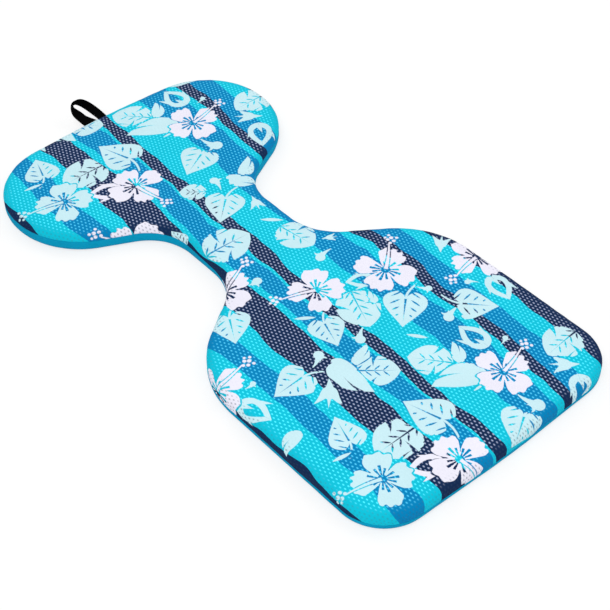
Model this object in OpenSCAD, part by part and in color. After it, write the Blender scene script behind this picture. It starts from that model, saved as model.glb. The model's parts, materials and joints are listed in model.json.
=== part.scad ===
// Pool saddle float: a foam slab with an hourglass plan in a sewn fabric cover, with a webbing hang loop.
// Millimetres, +Z up, +Y towards the hang loop. The origin is the middle of the underside.

/* [Plan] */
// Width across the seat end
seat_w = 445; // [380:1:520]
// Width across the waist
waist_w = 148; // [130:1:190]
// Width across the front lobe
lobe_w = 465; // [400:1:540]
// Length of the seat, from the rear edge to the shoulder corners
seat_len = 360; // [320:1:440]
// Length over which the shoulders run in to the waist
shoulder_run = 102; // [85:1:140]
// Length of the waist, between its corners
waist_len = 151; // [130:1:200]
// Length over which the waist runs out to the front lobe
lobe_run = 80; // [70:1:110]
// Length of the front lobe, from its back corners to the front edge
lobe_len = 197; // [190:1:260]
// How far the rear edge bows out at its middle
rear_bow = 6; // [2:1:14]
// How far the front edge bows out at its middle
front_bow = 9; // [2:1:16]

/* [Plan corners] */
// Radius of the rear corners
rear_corner_r = 70; // [64:1:110]
// Radius of the shoulders
shoulder_r = 140; // [90:1:180]
// Radius of the hollow behind the waist
waist_rear_r = 90; // [60:1:110]
// Radius of the hollow in front of the waist
waist_front_r = 80; // [50:1:95]
// Radius of the front lobe's back corners
lobe_back_r = 126; // [90:1:140]
// Radius of the front lobe's front corners
lobe_front_r = 114; // [80:1:120]
// Radius of the bow at the middle of both ends
bow_r = 1500; // [900:50:2500]

/* [Section] */
// Height of the board where the rounded edge ends
edge_t = 28; // [26:0.5:44]
// Radius of the rounded top edge
top_edge_r = 9.5; // [6:0.5:9.5]
// Radius of the rounded bottom edge
bottom_edge_r = 7; // [4:0.5:10]
// Rise of the top from the rounded edge to the middle
crown = 2.5; // [1:0.5:6]
// Distance in from the edge at which the top is at its full height
crown_reach = 58; // [36:1:60]

/* [Cover] */
// Thickness of the cover fabric
cover_t = 1.5; // [0.8:0.1:2.5]
// Height of the seam above the underside around the front lobe
seam_z_front = 18; // [14:0.5:18.5]
// Height of the seam above the underside around the seat
seam_z_seat = 10; // [7:0.5:11]
// Open width of the seam between the two panels
seam_gap = 0.3; // [0.2:0.05:0.6]
// Width of the seam margin that is turned in
margin_w = 7.5; // [6:0.5:8]
// Thickness of the overlocked seam margin
margin_t = 2.2; // [2.2:0.1:3]

/* [Core] */
// Clearance between the core and what lies against it
core_gap = 0.35; // [0.25:0.05:0.6]
// Radius of the core's top edge
core_top_r = 9.5; // [6:0.5:12]
// Radius of the core's bottom edge
core_bottom_r = 7; // [4:0.5:9]
// Thickness of the lower core sheet
lower_sheet_t = 12; // [9:0.5:14]

/* [Hang loop] */
// Width of the webbing
web_w = 15; // [10:0.5:22]
// Thickness of the webbing
web_t = 1.4; // [1:0.1:1.5]
// Gap between the two legs of the loop at the seam
loop_gap = 12; // [10:0.5:20]
// Reach of the loop's inner edge from its fold line
loop_reach = 56; // [48:1:90]
// Rise of the loop's inner edge at the tip above its fold line
loop_rise = 4.5; // [0:0.5:10]
// How far the webbing leans back from upright at the tip, in degrees
loop_lean = 30; // [0:1:40]
// Clearance between the loop and what it moves past
loop_clear = 0.35; // [0.25:0.05:0.6]
// Length of the webbing tails inside the seam
tail_len = 8; // [6:0.5:11]
// Length of each bar tack
tack_l = 11; // [6:0.5:14]
// Width of each bar tack
tack_w = 2; // [1.5:0.1:3]
// Height of each bar tack above the webbing
tack_h = 0.5; // [0.3:0.05:0.5]

/* [Hidden] */

// Largest turn between two neighbouring points of a rounded plan corner, in degrees
arc_step = 12;
// Share of a straight that the roundings at its two ends may use up
fillet_share = 0.98;
// Steps around the rounded part of the section, and across the crown
edge_steps = 3;
crown_steps = 2;
// Steps along each half of the hang loop
loop_steps = 14;

board_len = seat_len + shoulder_run + waist_len + lobe_run + lobe_len;
rear_y = -board_len / 2;
shoulder_y = rear_y + seat_len;
waist_rear_y = shoulder_y + shoulder_run;
waist_front_y = waist_rear_y + waist_len;
lobe_back_y = waist_front_y + lobe_run;
front_y = board_len / 2;

// The corner of a bowed end lies a little outside, so that its rounding reaches the full length
function bow_reach(bow, w) = bow_r * (1 / cos(atan(2 * bow / w)) - 1);

// Corners of the right side, from the rear to the front, as x, y and rounding radius
side_corners = [
    [seat_w / 2, rear_y + rear_bow, rear_corner_r],
    [seat_w / 2, shoulder_y, shoulder_r],
    [waist_w / 2, waist_rear_y, waist_rear_r],
    [waist_w / 2, waist_front_y, waist_front_r],
    [lobe_w / 2, lobe_back_y, lobe_back_r],
    [lobe_w / 2, front_y - front_bow, lobe_front_r]
];
rear_middle = [0, rear_y - bow_reach(rear_bow, seat_w), bow_r];
front_middle = [0, front_y + bow_reach(front_bow, lobe_w), bow_r];

function flip_x(p) = [-p.x, p.y, p.z];
corners = concat(
    [flip_x(side_corners[0]), rear_middle],
    side_corners,
    [front_middle, flip_x(side_corners[len(side_corners) - 1])]
);

function flat(p) = [p.x, p.y];
function unit(v) = v / norm(v);
// Half of the angle between the two straights that meet at corner i
function half_angle(i) =
    acos(unit(flat(corners[i - 1] - corners[i])) * unit(flat(corners[i + 1] - corners[i]))) / 2;
// Length that the rounding of corner i takes from each straight; the outermost corners mirror their twins
function straight_used(i) =
    i < 1 ? straight_used(2)
    : i > len(corners) - 2 ? straight_used(len(corners) - 3)
    : corners[i].z / tan(half_angle(i));
// Factor that makes the roundings of corners i and i + 1 fit their common straight
function straight_fit(i) =
    let (straight = norm(flat(corners[i + 1] - corners[i])))
    min(1, fillet_share * straight / (straight_used(i) + straight_used(i + 1)));
function corner_r(i) = corners[i].z * min(straight_fit(i - 1), straight_fit(i));

// Points of a rounded corner, each as its place and its outward direction
function rounding(i, n) =
    let (
        p = flat(corners[i]),
        u = unit(flat(corners[i - 1]) - p),
        v = unit(flat(corners[i + 1]) - p),
        half = half_angle(i),
        r = corner_r(i),
        centre = p + unit(u + v) * r / sin(half),
        side = sign(u.y * v.x - u.x * v.y),
        from = p + u * r / tan(half) - centre,
        turn = 180 - 2 * half
    )
    [for (k = [0:n])
        let (
            a = side * turn * k / n,
            d = [from.x * cos(a) - from.y * sin(a), from.x * sin(a) + from.y * cos(a)]
        )
        [centre + d, side * unit(d)]];

function rounding_steps(i) = max(2, ceil((180 - 2 * half_angle(i)) / arc_step));

// The plan as one closed line, anticlockwise: the right side from rear to front, then its mirror image.
// Three steps over each bow leave two points of it on either side of the middle.
bow_steps = 3;
rear_i = 1;
front_i = rear_i + len(side_corners) + 1;
rear_bow_points = rounding(rear_i, bow_steps);
front_bow_points = rounding(front_i, bow_steps);
// The seam slopes along the straight of the waist, which therefore has points of its own
waist_steps = 3;
waist_rear_i = rear_i + 3;
waist_start = rounding(waist_rear_i, 1)[1];
waist_end = rounding(waist_rear_i + 1, 1)[0];
waist_points = [for (k = [1:waist_steps - 1]) waist_start + (waist_end - waist_start) * k / waist_steps];
right_side = concat(
    [rear_bow_points[2], rear_bow_points[3]],
    [for (i = [rear_i + 1:waist_rear_i]) each rounding(i, rounding_steps(i))],
    waist_points,
    [for (i = [waist_rear_i + 1:front_i - 1]) each rounding(i, rounding_steps(i))],
    [front_bow_points[0], front_bow_points[1]]
);
function flip_point(p) = [[-p[0].x, p[0].y], [-p[1].x, p[1].y]];
plan = concat(right_side, [for (i = [len(right_side) - 1:-1:0]) flip_point(right_side[i])]);

// The section runs from the flat underside around the bottom edge, up the side and around the top edge.
// It gives the distance in from the plan and the height, for a layer that lies depth below the surface.
function section_len(h, top_r, bottom_r) = (bottom_r + top_r) * PI / 2 + h - top_r - bottom_r;
function section(s, depth, h, top_r, bottom_r) =
    let (
        bottom_len = bottom_r * PI / 2,
        side_len = h - top_r - bottom_r,
        bottom_a = 90 * s / bottom_len - 90,
        top_a = 90 * (s - bottom_len - side_len) / (top_r * PI / 2)
    )
    s < bottom_len
        ? [bottom_r - (bottom_r - depth) * cos(bottom_a), bottom_r + (bottom_r - depth) * sin(bottom_a)]
    : s < bottom_len + side_len ? [depth, bottom_r + s - bottom_len]
    : [top_r - (top_r - depth) * cos(top_a), h - top_r + (top_r - depth) * sin(top_a)];

function cover_section(s, depth) = section(s, depth, edge_t, top_edge_r, bottom_edge_r);
cover_len = section_len(edge_t, top_edge_r, bottom_edge_r);

// Rise of the crown at a distance in from the plan
function crown_at(inset) =
    let (t = max(0, min(1, (inset - top_edge_r) / (crown_reach - top_edge_r)))) crown * (1 - (1 - t) ^ 2);

// The seam falls from its height around the front lobe to its height around the seat along the waist, and
// stays on the straight part of the side
function ease(t) = let (c = max(0, min(1, t))) c * c * (3 - 2 * c);
function seam_fall(y) = ease((y - waist_rear_y) / (waist_front_y - waist_rear_y));
function seam_z(y) =
    let (z = seam_z_seat + (seam_z_front - seam_z_seat) * seam_fall(y))
    max(bottom_edge_r, min(edge_t - top_edge_r, z));
function seam_s(y) = bottom_edge_r * PI / 2 + seam_z(y) - bottom_edge_r;

// A point of the plan moved inwards and lifted
function placed(p, inset, z) = [p[0].x - p[1].x * inset, p[0].y - p[1].y * inset, z];
// One closed line of the cover, at a share of the way from the seam over the top edge, or from the underside
// up to the seam
function cover_ring(share, depth, seam_shift, upper) =
    [for (p = plan)
        let (
            seam = seam_s(p[0].y) + seam_shift,
            s = upper ? seam + (cover_len - seam) * share : seam * share,
            at = cover_section(s, depth)
        )
        placed(p, at[0], at[1])];
// One closed line across the crown
function crown_ring(k, depth) =
    let (inset = top_edge_r + (crown_reach - top_edge_r) * k / crown_steps)
    [for (p = plan) placed(p, inset, edge_t - depth + crown_at(inset))];

// A solid through closed lines that run upwards on its outside, with flat ends or joined up as a ring.
// Each flat end is filled by strips across it, between mirrored points of the plan.
module loft(rings, ring = false) {
    n = len(rings[0]);
    last = len(rings) - 1;
    sides = [
        for (j = [0:ring ? last : last - 1], i = [0:n - 1])
            let (a = j * n, b = ((j + 1) % len(rings)) * n, k = (i + 1) % n)
            each [[a + i, b + i, b + k], [a + i, b + k, a + k]]
    ];
    low_end = [for (i = [0:n / 2 - 2]) each [[i, i + 1, n - 2 - i], [i, n - 2 - i, n - 1 - i]]];
    high_end = [for (f = low_end) [last * n + f[2], last * n + f[1], last * n + f[0]]];
    polyhedron(
        points = [for (r = rings) each r],
        faces = ring ? sides : concat(sides, low_end, high_end),
        convexity = 6
    );
}

// Where the webbing comes out: the seam at the middle of the front edge
front_edge_y = right_side[len(right_side) - 1][0].y;
seam_front = cover_section(seam_s(front_edge_y), 0);
slot_y = front_edge_y - seam_front[0];
slot_z = seam_front[1];
fold_y = slot_y + web_t / 2 + loop_clear;
leg_x = (loop_gap + web_w) / 2;
slot_w = loop_gap + 2 * web_w + 2 * loop_clear;
slot_h = web_t + 2 * loop_clear;
core_inset = cover_t + margin_t + 2 * core_gap;
// Room for cutting tools to start and end clear of a surface
over = 3;

module loop_slot() {
    translate([-slot_w / 2, slot_y - core_inset, slot_z - slot_h / 2])
        cube([slot_w, core_inset + over, slot_h]);
}

module tail_pocket() {
    translate([-slot_w / 2, slot_y - core_inset, slot_z + slot_h / 2 - tail_len - slot_h])
        cube([slot_w, core_inset, tail_len + slot_h]);
}

// One closed line of the core: its own section, set in from the plan and above the underside
core_z = cover_t + core_gap;
core_h = edge_t - 2 * core_z;
core_len = section_len(core_h, core_top_r, core_bottom_r);
core_split_s = core_bottom_r * PI / 2 + lower_sheet_t - core_bottom_r;
function core_ring(s) =
    let (
        at = section(s, 0, core_h, core_top_r, core_bottom_r),
        inset = core_inset + at[0]
    )
    [for (p = plan) placed(p, inset, core_z + at[1] + crown_at(inset))];
core_edge_inset = core_inset + core_top_r;
function core_crown_ring(k) =
    let (inset = core_edge_inset + (crown_reach - core_edge_inset) * k / crown_steps)
    [for (p = plan) placed(p, inset, core_z + core_h + crown_at(inset))];

module core_upper_sheet() {
    color("white")
        loft(concat(
            [for (k = [0:edge_steps]) core_ring(core_split_s + (core_len - core_split_s) * k / edge_steps)],
            [for (k = [1:crown_steps]) core_crown_ring(k)]
        ));
}

module core_lower_sheet() {
    color("whitesmoke")
        loft([for (k = [0:edge_steps]) core_ring(core_split_s * k / edge_steps)]);
}

module top_cover() {
    color("deepskyblue")
        difference() {
            loft(concat(
                [for (k = [crown_steps:-1:1]) crown_ring(k, cover_t)],
                [for (k = [edge_steps:-1:0]) cover_ring(k / edge_steps, cover_t, seam_gap / 2, true)],
                [for (k = [0:edge_steps]) cover_ring(k / edge_steps, 0, seam_gap / 2, true)],
                [for (k = [1:crown_steps]) crown_ring(k, 0)]
            ));
            loop_slot();
        }
}

module bottom_cover() {
    color("darkturquoise")
        difference() {
            loft(concat(
                [for (k = [0:edge_steps]) cover_ring(k / edge_steps, 0, -seam_gap / 2, false)],
                [for (k = [edge_steps:-1:0]) cover_ring(k / edge_steps, cover_t, -seam_gap / 2, false)]
            ));
            loop_slot();
        }
}

// The overlocked edges of both panels lie against the core's side: they hang down from the seam around the
// front lobe and stand up from it around the seat, and reach no higher than the straight part of the side
function margin_z(y, share) = min(edge_t - top_edge_r, seam_z(y) + margin_w * (share - seam_fall(y)));
function margin_ring(share, depth) = [for (p = plan) placed(p, depth, margin_z(p[0].y, share))];

module seam_margin() {
    outer = cover_t + core_gap;
    inner = outer + margin_t;
    color("teal")
        difference() {
            loft([margin_ring(0, outer), margin_ring(1, outer), margin_ring(1, inner), margin_ring(0, inner)],
                ring = true);
            tail_pocket();
        }
}

// Each tail goes in through the slot and turns down behind the bottom cover
tail_front_y = fold_y - web_t / 2 - loop_clear;
tail_back_y = slot_y - core_inset + core_gap;
tail_face_y = tail_back_y + web_t;

module loop_tails() {
    color("black")
        for (side = [-1, 1])
            translate([side * leg_x - web_w / 2, tail_back_y, slot_z + web_t / 2]) {
                translate([0, 0, -web_t])
                    cube([web_w, tail_front_y - tail_back_y, web_t]);
                translate([0, 0, -tail_len])
                    cube([web_w, web_t, tail_len]);
            }
}

// A bar tack lies across each tail, half way down it
module loop_bar_tacks() {
    color("dimgray")
        for (side = [-1, 1])
            translate([side * leg_x, tail_face_y, slot_z - tail_len / 2])
                rotate([-90, 0, 0])
                    linear_extrude(tack_h)
                        bar_outline();
}

module bar_outline() {
    half = (tack_l - tack_w) / 2;
    square([2 * half, tack_w], center = true);
    for (end = [-1, 1])
        translate([end * half, 0])
            circle(d = tack_w, $fn = 32);
}

// The loop's two edges leave the fold as two legs and close in a round tip. There the webbing stands on its
// inner edge and leans back over the opening. t runs from 0 on the right leg to 2 on the left leg.
loop_squareness = 3;
inner_x = loop_gap / 2;
outer_x = inner_x + web_w;
outer_reach = loop_reach - web_w * sin(loop_lean);
outer_rise = loop_rise + web_w * cos(loop_lean);
function loop_edge(t, x, reach, rise) =
    let (a = 90 * t, c = cos(a), s = sin(a), e = 2 / loop_squareness)
    [x * sign(c) * abs(c) ^ e, fold_y + reach * s ^ e, slot_z + rise * s ^ (2 * e)];
function inner_edge(t) = loop_edge(t, inner_x, loop_reach, loop_rise);
function outer_edge(t) = loop_edge(t, outer_x, outer_reach, outer_rise);
function loop_middle(t) = (inner_edge(t) + outer_edge(t)) / 2;
// The outline of the webbing across the loop, moved back and thinned for the rounded ends at the fold
function loop_ring(t, back = 0, thin = 1) =
    let (
        step = 0.002,
        along = unit(loop_middle(min(2, t + step)) - loop_middle(max(0, t - step))),
        across = unit(inner_edge(t) - outer_edge(t)),
        through = unit(cross(along, across)) * thin,
        p = loop_middle(t) - [0, back, 0]
    )
    [
        p + across * web_w / 2 - through * web_t / 2,
        p + across * web_w / 2 + through * web_t / 2,
        p - across * web_w / 2 + through * web_t / 2,
        p - across * web_w / 2 - through * web_t / 2
    ];
fold_angles = [30, 60, 80];
function fold_ring(t, a) = loop_ring(t, web_t / 2 * sin(a), cos(a));

module hang_loop() {
    color("black")
        loft(concat(
            [for (k = [len(fold_angles) - 1:-1:0]) fold_ring(0, fold_angles[k])],
            [for (k = [0:2 * loop_steps]) loop_ring(k / loop_steps)],
            [for (a = fold_angles) fold_ring(2, a)]
        ));
}

core_upper_sheet();
core_lower_sheet();
top_cover();
bottom_cover();
seam_margin();
loop_tails();
loop_bar_tacks();
hang_loop();
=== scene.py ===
"""Looks of the pool saddle float: sewn covers, printed mesh, plain base fabric and the webbing hang loop."""

import json
import logging
import math
from collections.abc import Callable
from dataclasses import dataclass, field, replace
from enum import Enum, IntEnum

import bmesh
import bpy
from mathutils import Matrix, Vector, noise


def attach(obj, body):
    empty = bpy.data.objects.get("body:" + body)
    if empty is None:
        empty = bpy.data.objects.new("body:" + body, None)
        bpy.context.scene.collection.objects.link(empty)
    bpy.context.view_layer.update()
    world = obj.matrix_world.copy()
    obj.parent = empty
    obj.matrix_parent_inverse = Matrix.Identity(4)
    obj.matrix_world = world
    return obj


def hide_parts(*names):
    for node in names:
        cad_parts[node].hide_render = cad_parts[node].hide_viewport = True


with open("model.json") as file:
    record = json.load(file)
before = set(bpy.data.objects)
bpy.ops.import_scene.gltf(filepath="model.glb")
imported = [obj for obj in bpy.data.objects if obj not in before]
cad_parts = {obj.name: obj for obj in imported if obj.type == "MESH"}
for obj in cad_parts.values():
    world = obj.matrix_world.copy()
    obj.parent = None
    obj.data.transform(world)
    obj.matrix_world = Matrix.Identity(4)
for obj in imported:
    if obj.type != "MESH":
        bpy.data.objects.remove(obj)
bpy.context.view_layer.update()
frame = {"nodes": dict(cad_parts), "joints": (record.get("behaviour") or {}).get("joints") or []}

LOG = logging.getLogger("saddle_float")
MM = 0.001

Colour = tuple[float, float, float]
Socket = bpy.types.NodeSocket
Feed = Socket | float | tuple


def linear(red: int, green: int, blue: int) -> Colour:
    """Turns a screen colour of 0 to 255 into the linear colour that shaders use."""
    shares = [value / 255 for value in (red, green, blue)]
    return tuple(((s + 0.055) / 1.055) ** 2.4 if s > 0.04 else s / 12.92 for s in shares)


def ease(t: float) -> float:
    """Smooth step from 0 to 1, level at both ends."""
    c = max(0.0, min(1.0, t))
    return c * c * (3 - 2 * c)


class Graph:
    """Adds nodes to one node tree and joins them up."""

    def __init__(self, tree: bpy.types.NodeTree) -> None:
        """Starts with an empty tree."""
        self.tree = tree
        tree.nodes.clear()

    def node(self, kind: str, **settings: object) -> bpy.types.Node:
        """Adds one node.

        Args:
            kind: The node's type name without the ShaderNode prefix.
            settings: Properties of the node to set.

        Returns:
            The new node.
        """
        made = self.tree.nodes.new(kind if kind.startswith("Node") else f"ShaderNode{kind}")
        for name, value in settings.items():
            setattr(made, name, value)
        return made

    def feed(self, socket: Socket, value: Feed) -> None:
        """Links a socket to another node's output, or sets its plain value.

        Args:
            socket: The input to feed.
            value: The output to link it to, or the value to set.
        """
        if isinstance(value, bpy.types.NodeSocket):
            self.tree.links.new(value, socket)
        elif isinstance(value, tuple) and len(value) == 3 and socket.type == "RGBA":
            socket.default_value = (*value, 1.0)
        else:
            socket.default_value = value

    def math(self, operation: str, *values: Feed) -> Socket:
        """Adds a math node of one operation, fed with the values in order.

        Args:
            operation: The node's operation, such as ADD.
            values: What its inputs are fed with.

        Returns:
            The result.
        """
        made = self.node("Math", operation=operation)
        for socket, value in zip(made.inputs, values):
            self.feed(socket, value)
        return made.outputs[0]

    def chain(self, operation: str, values: list[Socket]) -> Socket:
        """Joins several values by one operation, such as MAXIMUM for a union.

        Args:
            operation: The operation between each two values.
            values: The values to join.

        Returns:
            The joined value.
        """
        joined = values[0]
        for value in values[1:]:
            joined = self.math(operation, joined, value)
        return joined

    def step(self, value: Feed, low: float, high: float) -> Socket:
        """Rises smoothly from 0 at low to 1 at high.

        Args:
            value: The value that is read.
            low: Where the rise starts.
            high: Where it ends.

        Returns:
            The share of the rise, from 0 to 1.
        """
        made = self.node("MapRange", interpolation_type="SMOOTHSTEP")
        self.feed(made.inputs["Value"], value)
        made.inputs["From Min"].default_value = low
        made.inputs["From Max"].default_value = high
        return made.outputs["Result"]

    def split(self, vector: Socket) -> tuple[Socket, Socket, Socket]:
        """Gives the three components of a vector.

        Args:
            vector: The vector to take apart.

        Returns:
            Its x, y and z.
        """
        made = self.node("SeparateXYZ")
        self.feed(made.inputs[0], vector)
        return tuple(made.outputs)

    def distance(self, u: Feed, v: Feed, x: float = 0.0, y: float = 0.0) -> Socket:
        """Gives the distance of the place u, v from the point x, y.

        Args:
            u: First coordinate of the place.
            v: Second coordinate of the place.
            x: First coordinate of the point.
            y: Second coordinate of the point.

        Returns:
            The distance.
        """
        square_u = self.math("POWER", self.math("SUBTRACT", u, x), 2.0)
        square_v = self.math("POWER", self.math("SUBTRACT", v, y), 2.0)
        return self.math("SQRT", self.math("ADD", square_u, square_v))

    def join(self, x: Feed, y: Feed) -> Socket:
        """Makes a flat vector of two values.

        Args:
            x: First component.
            y: Second component.

        Returns:
            The vector, whose third component is 0.
        """
        made = self.node("CombineXYZ")
        for socket, value in zip(made.inputs, (x, y)):
            self.feed(socket, value)
        return made.outputs[0]

    def mix(self, share: Feed, first: Feed, second: Feed, blend: str = "MIX") -> Socket:
        """Mixes two colours.

        Args:
            share: How much of the second colour shows, from 0 to 1.
            first: The colour at 0.
            second: The colour at 1.
            blend: The blend type of the node.

        Returns:
            The mixed colour.
        """
        made = self.node("Mix", data_type="RGBA", blend_type=blend)
        self.feed(made.inputs[0], share)
        self.feed(made.inputs[6], first)
        self.feed(made.inputs[7], second)
        return made.outputs[2]

    def choose(self, share: Feed, first: Feed, second: Feed) -> Socket:
        """Mixes two plain values.

        Args:
            share: How much of the second value shows, from 0 to 1.
            first: The value at 0.
            second: The value at 1.

        Returns:
            The mixed value.
        """
        made = self.node("Mix", data_type="FLOAT")
        self.feed(made.inputs[0], share)
        self.feed(made.inputs[2], first)
        self.feed(made.inputs[3], second)
        return made.outputs[0]

    def noise(self, vector: Feed, scale: float, detail: float) -> Socket:
        """Gives a noise value of about 0 to 1 around 0.5.

        Args:
            vector: Where the noise is read.
            scale: How fine it is.
            detail: How many finer layers it has.

        Returns:
            The noise value.
        """
        made = self.node("TexNoise", noise_dimensions="3D")
        self.feed(made.inputs["Vector"], vector)
        made.inputs["Scale"].default_value = scale
        made.inputs["Detail"].default_value = detail
        return made.outputs["Fac"]

    def curve(self, value: Feed, points: list[tuple[float, float]], straight: bool = False) -> Socket:
        """Passes a value of 0 to 1 through a smooth curve, or straight lines, given by its points.

        Args:
            value: A value of 0 to 1.
            points: The points that the curve goes through, from 0 to 1.
            straight: True for straight lines between the points.

        Returns:
            The curve's height at the value.
        """
        made = self.node("FloatCurve")
        self.feed(made.inputs["Value"], value)
        line = made.mapping.curves[0]
        for point, place in zip(line.points, (points[0], points[-1])):
            point.location = place
        for place in points[1:-1]:
            line.points.new(*place)
        for point in line.points:
            point.handle_type = "VECTOR" if straight else "AUTO_CLAMPED"
        made.mapping.update()
        return made.outputs[0]

    def bands(self, value: Feed, stops: list[tuple[float, Colour]]) -> Socket:
        """Gives each stretch between two stops the colour of its first stop, with hard edges.

        Args:
            value: The place to read, from 0 to 1.
            stops: Where each stretch starts, and its colour.

        Returns:
            The colour at the place.
        """
        made = self.node("ValToRGB")
        ramp = made.color_ramp
        ramp.interpolation = "CONSTANT"
        while len(ramp.elements) < len(stops):
            ramp.elements.new(1.0)
        for element, (place, colour) in zip(ramp.elements, stops):
            element.position = place
            element.color = (*colour, 1.0)
        self.feed(made.inputs[0], value)
        return made.outputs[0]


class EffectGroup:
    """A shader node group that is built once and placed in each material that uses it."""

    title = ""
    takes: tuple[tuple[str, str, float], ...] = ()
    gives: tuple[tuple[str, str], ...] = ()

    def __init__(self) -> None:
        """Makes the group's tree with its sockets and fills it."""
        self.tree = bpy.data.node_groups.new(self.title, "ShaderNodeTree")
        graph = Graph(self.tree)
        for name, kind, value in self.takes:
            socket = self.tree.interface.new_socket(name, in_out="INPUT", socket_type=f"NodeSocket{kind}")
            if kind == "Float":
                socket.default_value = value
        for name, kind in self.gives:
            self.tree.interface.new_socket(name, in_out="OUTPUT", socket_type=f"NodeSocket{kind}")
        inward = graph.node("NodeGroupInput")
        outward = graph.node("NodeGroupOutput")
        results = self.draw(graph, inward.outputs)
        for name, value in results.items():
            graph.feed(outward.inputs[name], value)

    def draw(self, graph: Graph, inputs: bpy.types.NodeOutputs) -> dict[str, Socket]:
        """Fills the group's tree from its inputs, and returns the value for each socket that it gives."""
        raise NotImplementedError

    def place(self, graph: Graph, **values: Feed) -> bpy.types.NodeOutputs:
        """Places the group in a material's tree.

        Args:
            graph: The tree to place it in.
            values: A value for each input, by name.

        Returns:
            The outputs of the placed group.
        """
        made = graph.node("Group", node_tree=self.tree)
        for name, value in values.items():
            graph.feed(made.inputs[name], value)
        return made.outputs


class KnitLoops(EffectGroup):
    """Fine knitted loops: a height of crossing ribs with a little unevenness."""

    title = "knit loops"
    takes = (("Place", "Vector", 0.0), ("Pitch", "Float", 1.2 * MM))
    gives = (("Height", "Float"), ("Tone", "Float"))
    slow_scale = 14.0
    fine_scale = 900.0
    slow_share = 0.6

    def draw(self, graph: Graph, inputs: bpy.types.NodeOutputs) -> dict[str, Socket]:
        """Crosses two waves at the knit's pitch and adds slow tone changes.

        Args:
            graph: The group's own tree.
            inputs: The sockets that the group takes.

        Returns:
            The value for each socket that the group gives.
        """
        across, along, _ = graph.split(inputs["Place"])
        turns = graph.math("DIVIDE", 2 * math.pi, inputs["Pitch"])
        wave_across = graph.math("SINE", graph.math("MULTIPLY", across, turns))
        wave_along = graph.math("SINE", graph.math("MULTIPLY", along, turns))
        height = graph.math("MULTIPLY_ADD", graph.math("MULTIPLY", wave_across, wave_along), 0.5, 0.5)
        slow = graph.noise(inputs["Place"], self.slow_scale, 3.0)
        fine = graph.noise(inputs["Place"], self.fine_scale, 1.0)
        return {"Height": height, "Tone": graph.choose(self.slow_share, fine, slow)}


class MeshHoles(EffectGroup):
    """Staggered rows of small holes, as an open mesh has them."""

    title = "mesh holes"
    takes = (
        ("Place", "Vector", 0.0),
        ("Across", "Float", 5.56 * MM),
        ("Along", "Float", 5.95 * MM),
        ("Radius", "Float", 1.75 * MM),
    )
    gives = (("Hole", "Float"), ("Ridge", "Float"))
    row_lean = -0.033
    column_lean = 0.021
    wobble_scale = 45.0
    wobble_size = 1.2 * MM
    squeeze_across = 1.35
    squeeze_along = 0.85
    hole_edge = (0.35, 1.2)
    ridge_edge = (0.4, 1.8)

    def draw(self, graph: Graph, inputs: bpy.types.NodeOutputs) -> dict[str, Socket]:
        """Measures the distance to the nearest hole of the staggered lattice.

        Args:
            graph: The group's own tree.
            inputs: The sockets that the group takes.

        Returns:
            The value for each socket that the group gives.
        """
        wobble = graph.node("TexNoise", noise_dimensions="3D")
        graph.feed(wobble.inputs["Vector"], inputs["Place"])
        wobble.inputs["Scale"].default_value = self.wobble_scale
        shifted = graph.node("VectorMath", operation="MULTIPLY_ADD")
        graph.feed(shifted.inputs[0], wobble.outputs["Color"])
        shifted.inputs[1].default_value = (self.wobble_size, self.wobble_size, 0.0)
        graph.feed(shifted.inputs[2], inputs["Place"])
        across, along, _ = graph.split(shifted.outputs[0])
        x = graph.math("MULTIPLY_ADD", along, self.column_lean, across)
        y = graph.math("MULTIPLY_ADD", across, self.row_lean, along)
        row = graph.math("DIVIDE", y, inputs["Along"])
        odd = graph.math("FLOORED_MODULO", graph.math("FLOOR", row), 2.0)
        column = graph.math("MULTIPLY_ADD", odd, 0.5, graph.math("DIVIDE", x, inputs["Across"]))
        share_x = graph.math("SUBTRACT", graph.math("FRACT", column), 0.5)
        share_y = graph.math("SUBTRACT", graph.math("FRACT", row), 0.5)
        off_x = graph.math("MULTIPLY", graph.math("MULTIPLY", share_x, inputs["Across"]), self.squeeze_across)
        off_y = graph.math("MULTIPLY", graph.math("MULTIPLY", share_y, inputs["Along"]), self.squeeze_along)
        share = graph.math("DIVIDE", graph.distance(off_x, off_y), inputs["Radius"])
        hole = graph.math("SUBTRACT", 1.0, graph.step(share, *self.hole_edge))
        return {"Hole": hole, "Ridge": graph.step(share, *self.ridge_edge)}


class PrintColour(Enum):
    """Colours of the print, as the photograph shows them between the mesh's holes."""

    NAVY = linear(20, 44, 82)
    BLUE = linear(3, 132, 190)
    CYAN = linear(16, 196, 221)


@dataclass(frozen=True)
class Stripe:
    """One lengthwise stripe of the print: where it starts, in millimetres to the right, and its colour."""

    start: float
    colour: PrintColour


STRIPES = (
    Stripe(-330, PrintColour.NAVY),
    Stripe(-226, PrintColour.CYAN),
    Stripe(-181, PrintColour.BLUE),
    Stripe(-147, PrintColour.CYAN),
    Stripe(-122, PrintColour.NAVY),
    Stripe(-73, PrintColour.CYAN),
    Stripe(-64, PrintColour.BLUE),
    Stripe(-31, PrintColour.CYAN),
    Stripe(-27, PrintColour.NAVY),
    Stripe(-6, PrintColour.CYAN),
    Stripe(51, PrintColour.BLUE),
    Stripe(104, PrintColour.CYAN),
    Stripe(117, PrintColour.NAVY),
    Stripe(136, PrintColour.BLUE),
    Stripe(169, PrintColour.CYAN),
    Stripe(200, PrintColour.NAVY),
    Stripe(262, PrintColour.CYAN),
)


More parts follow.
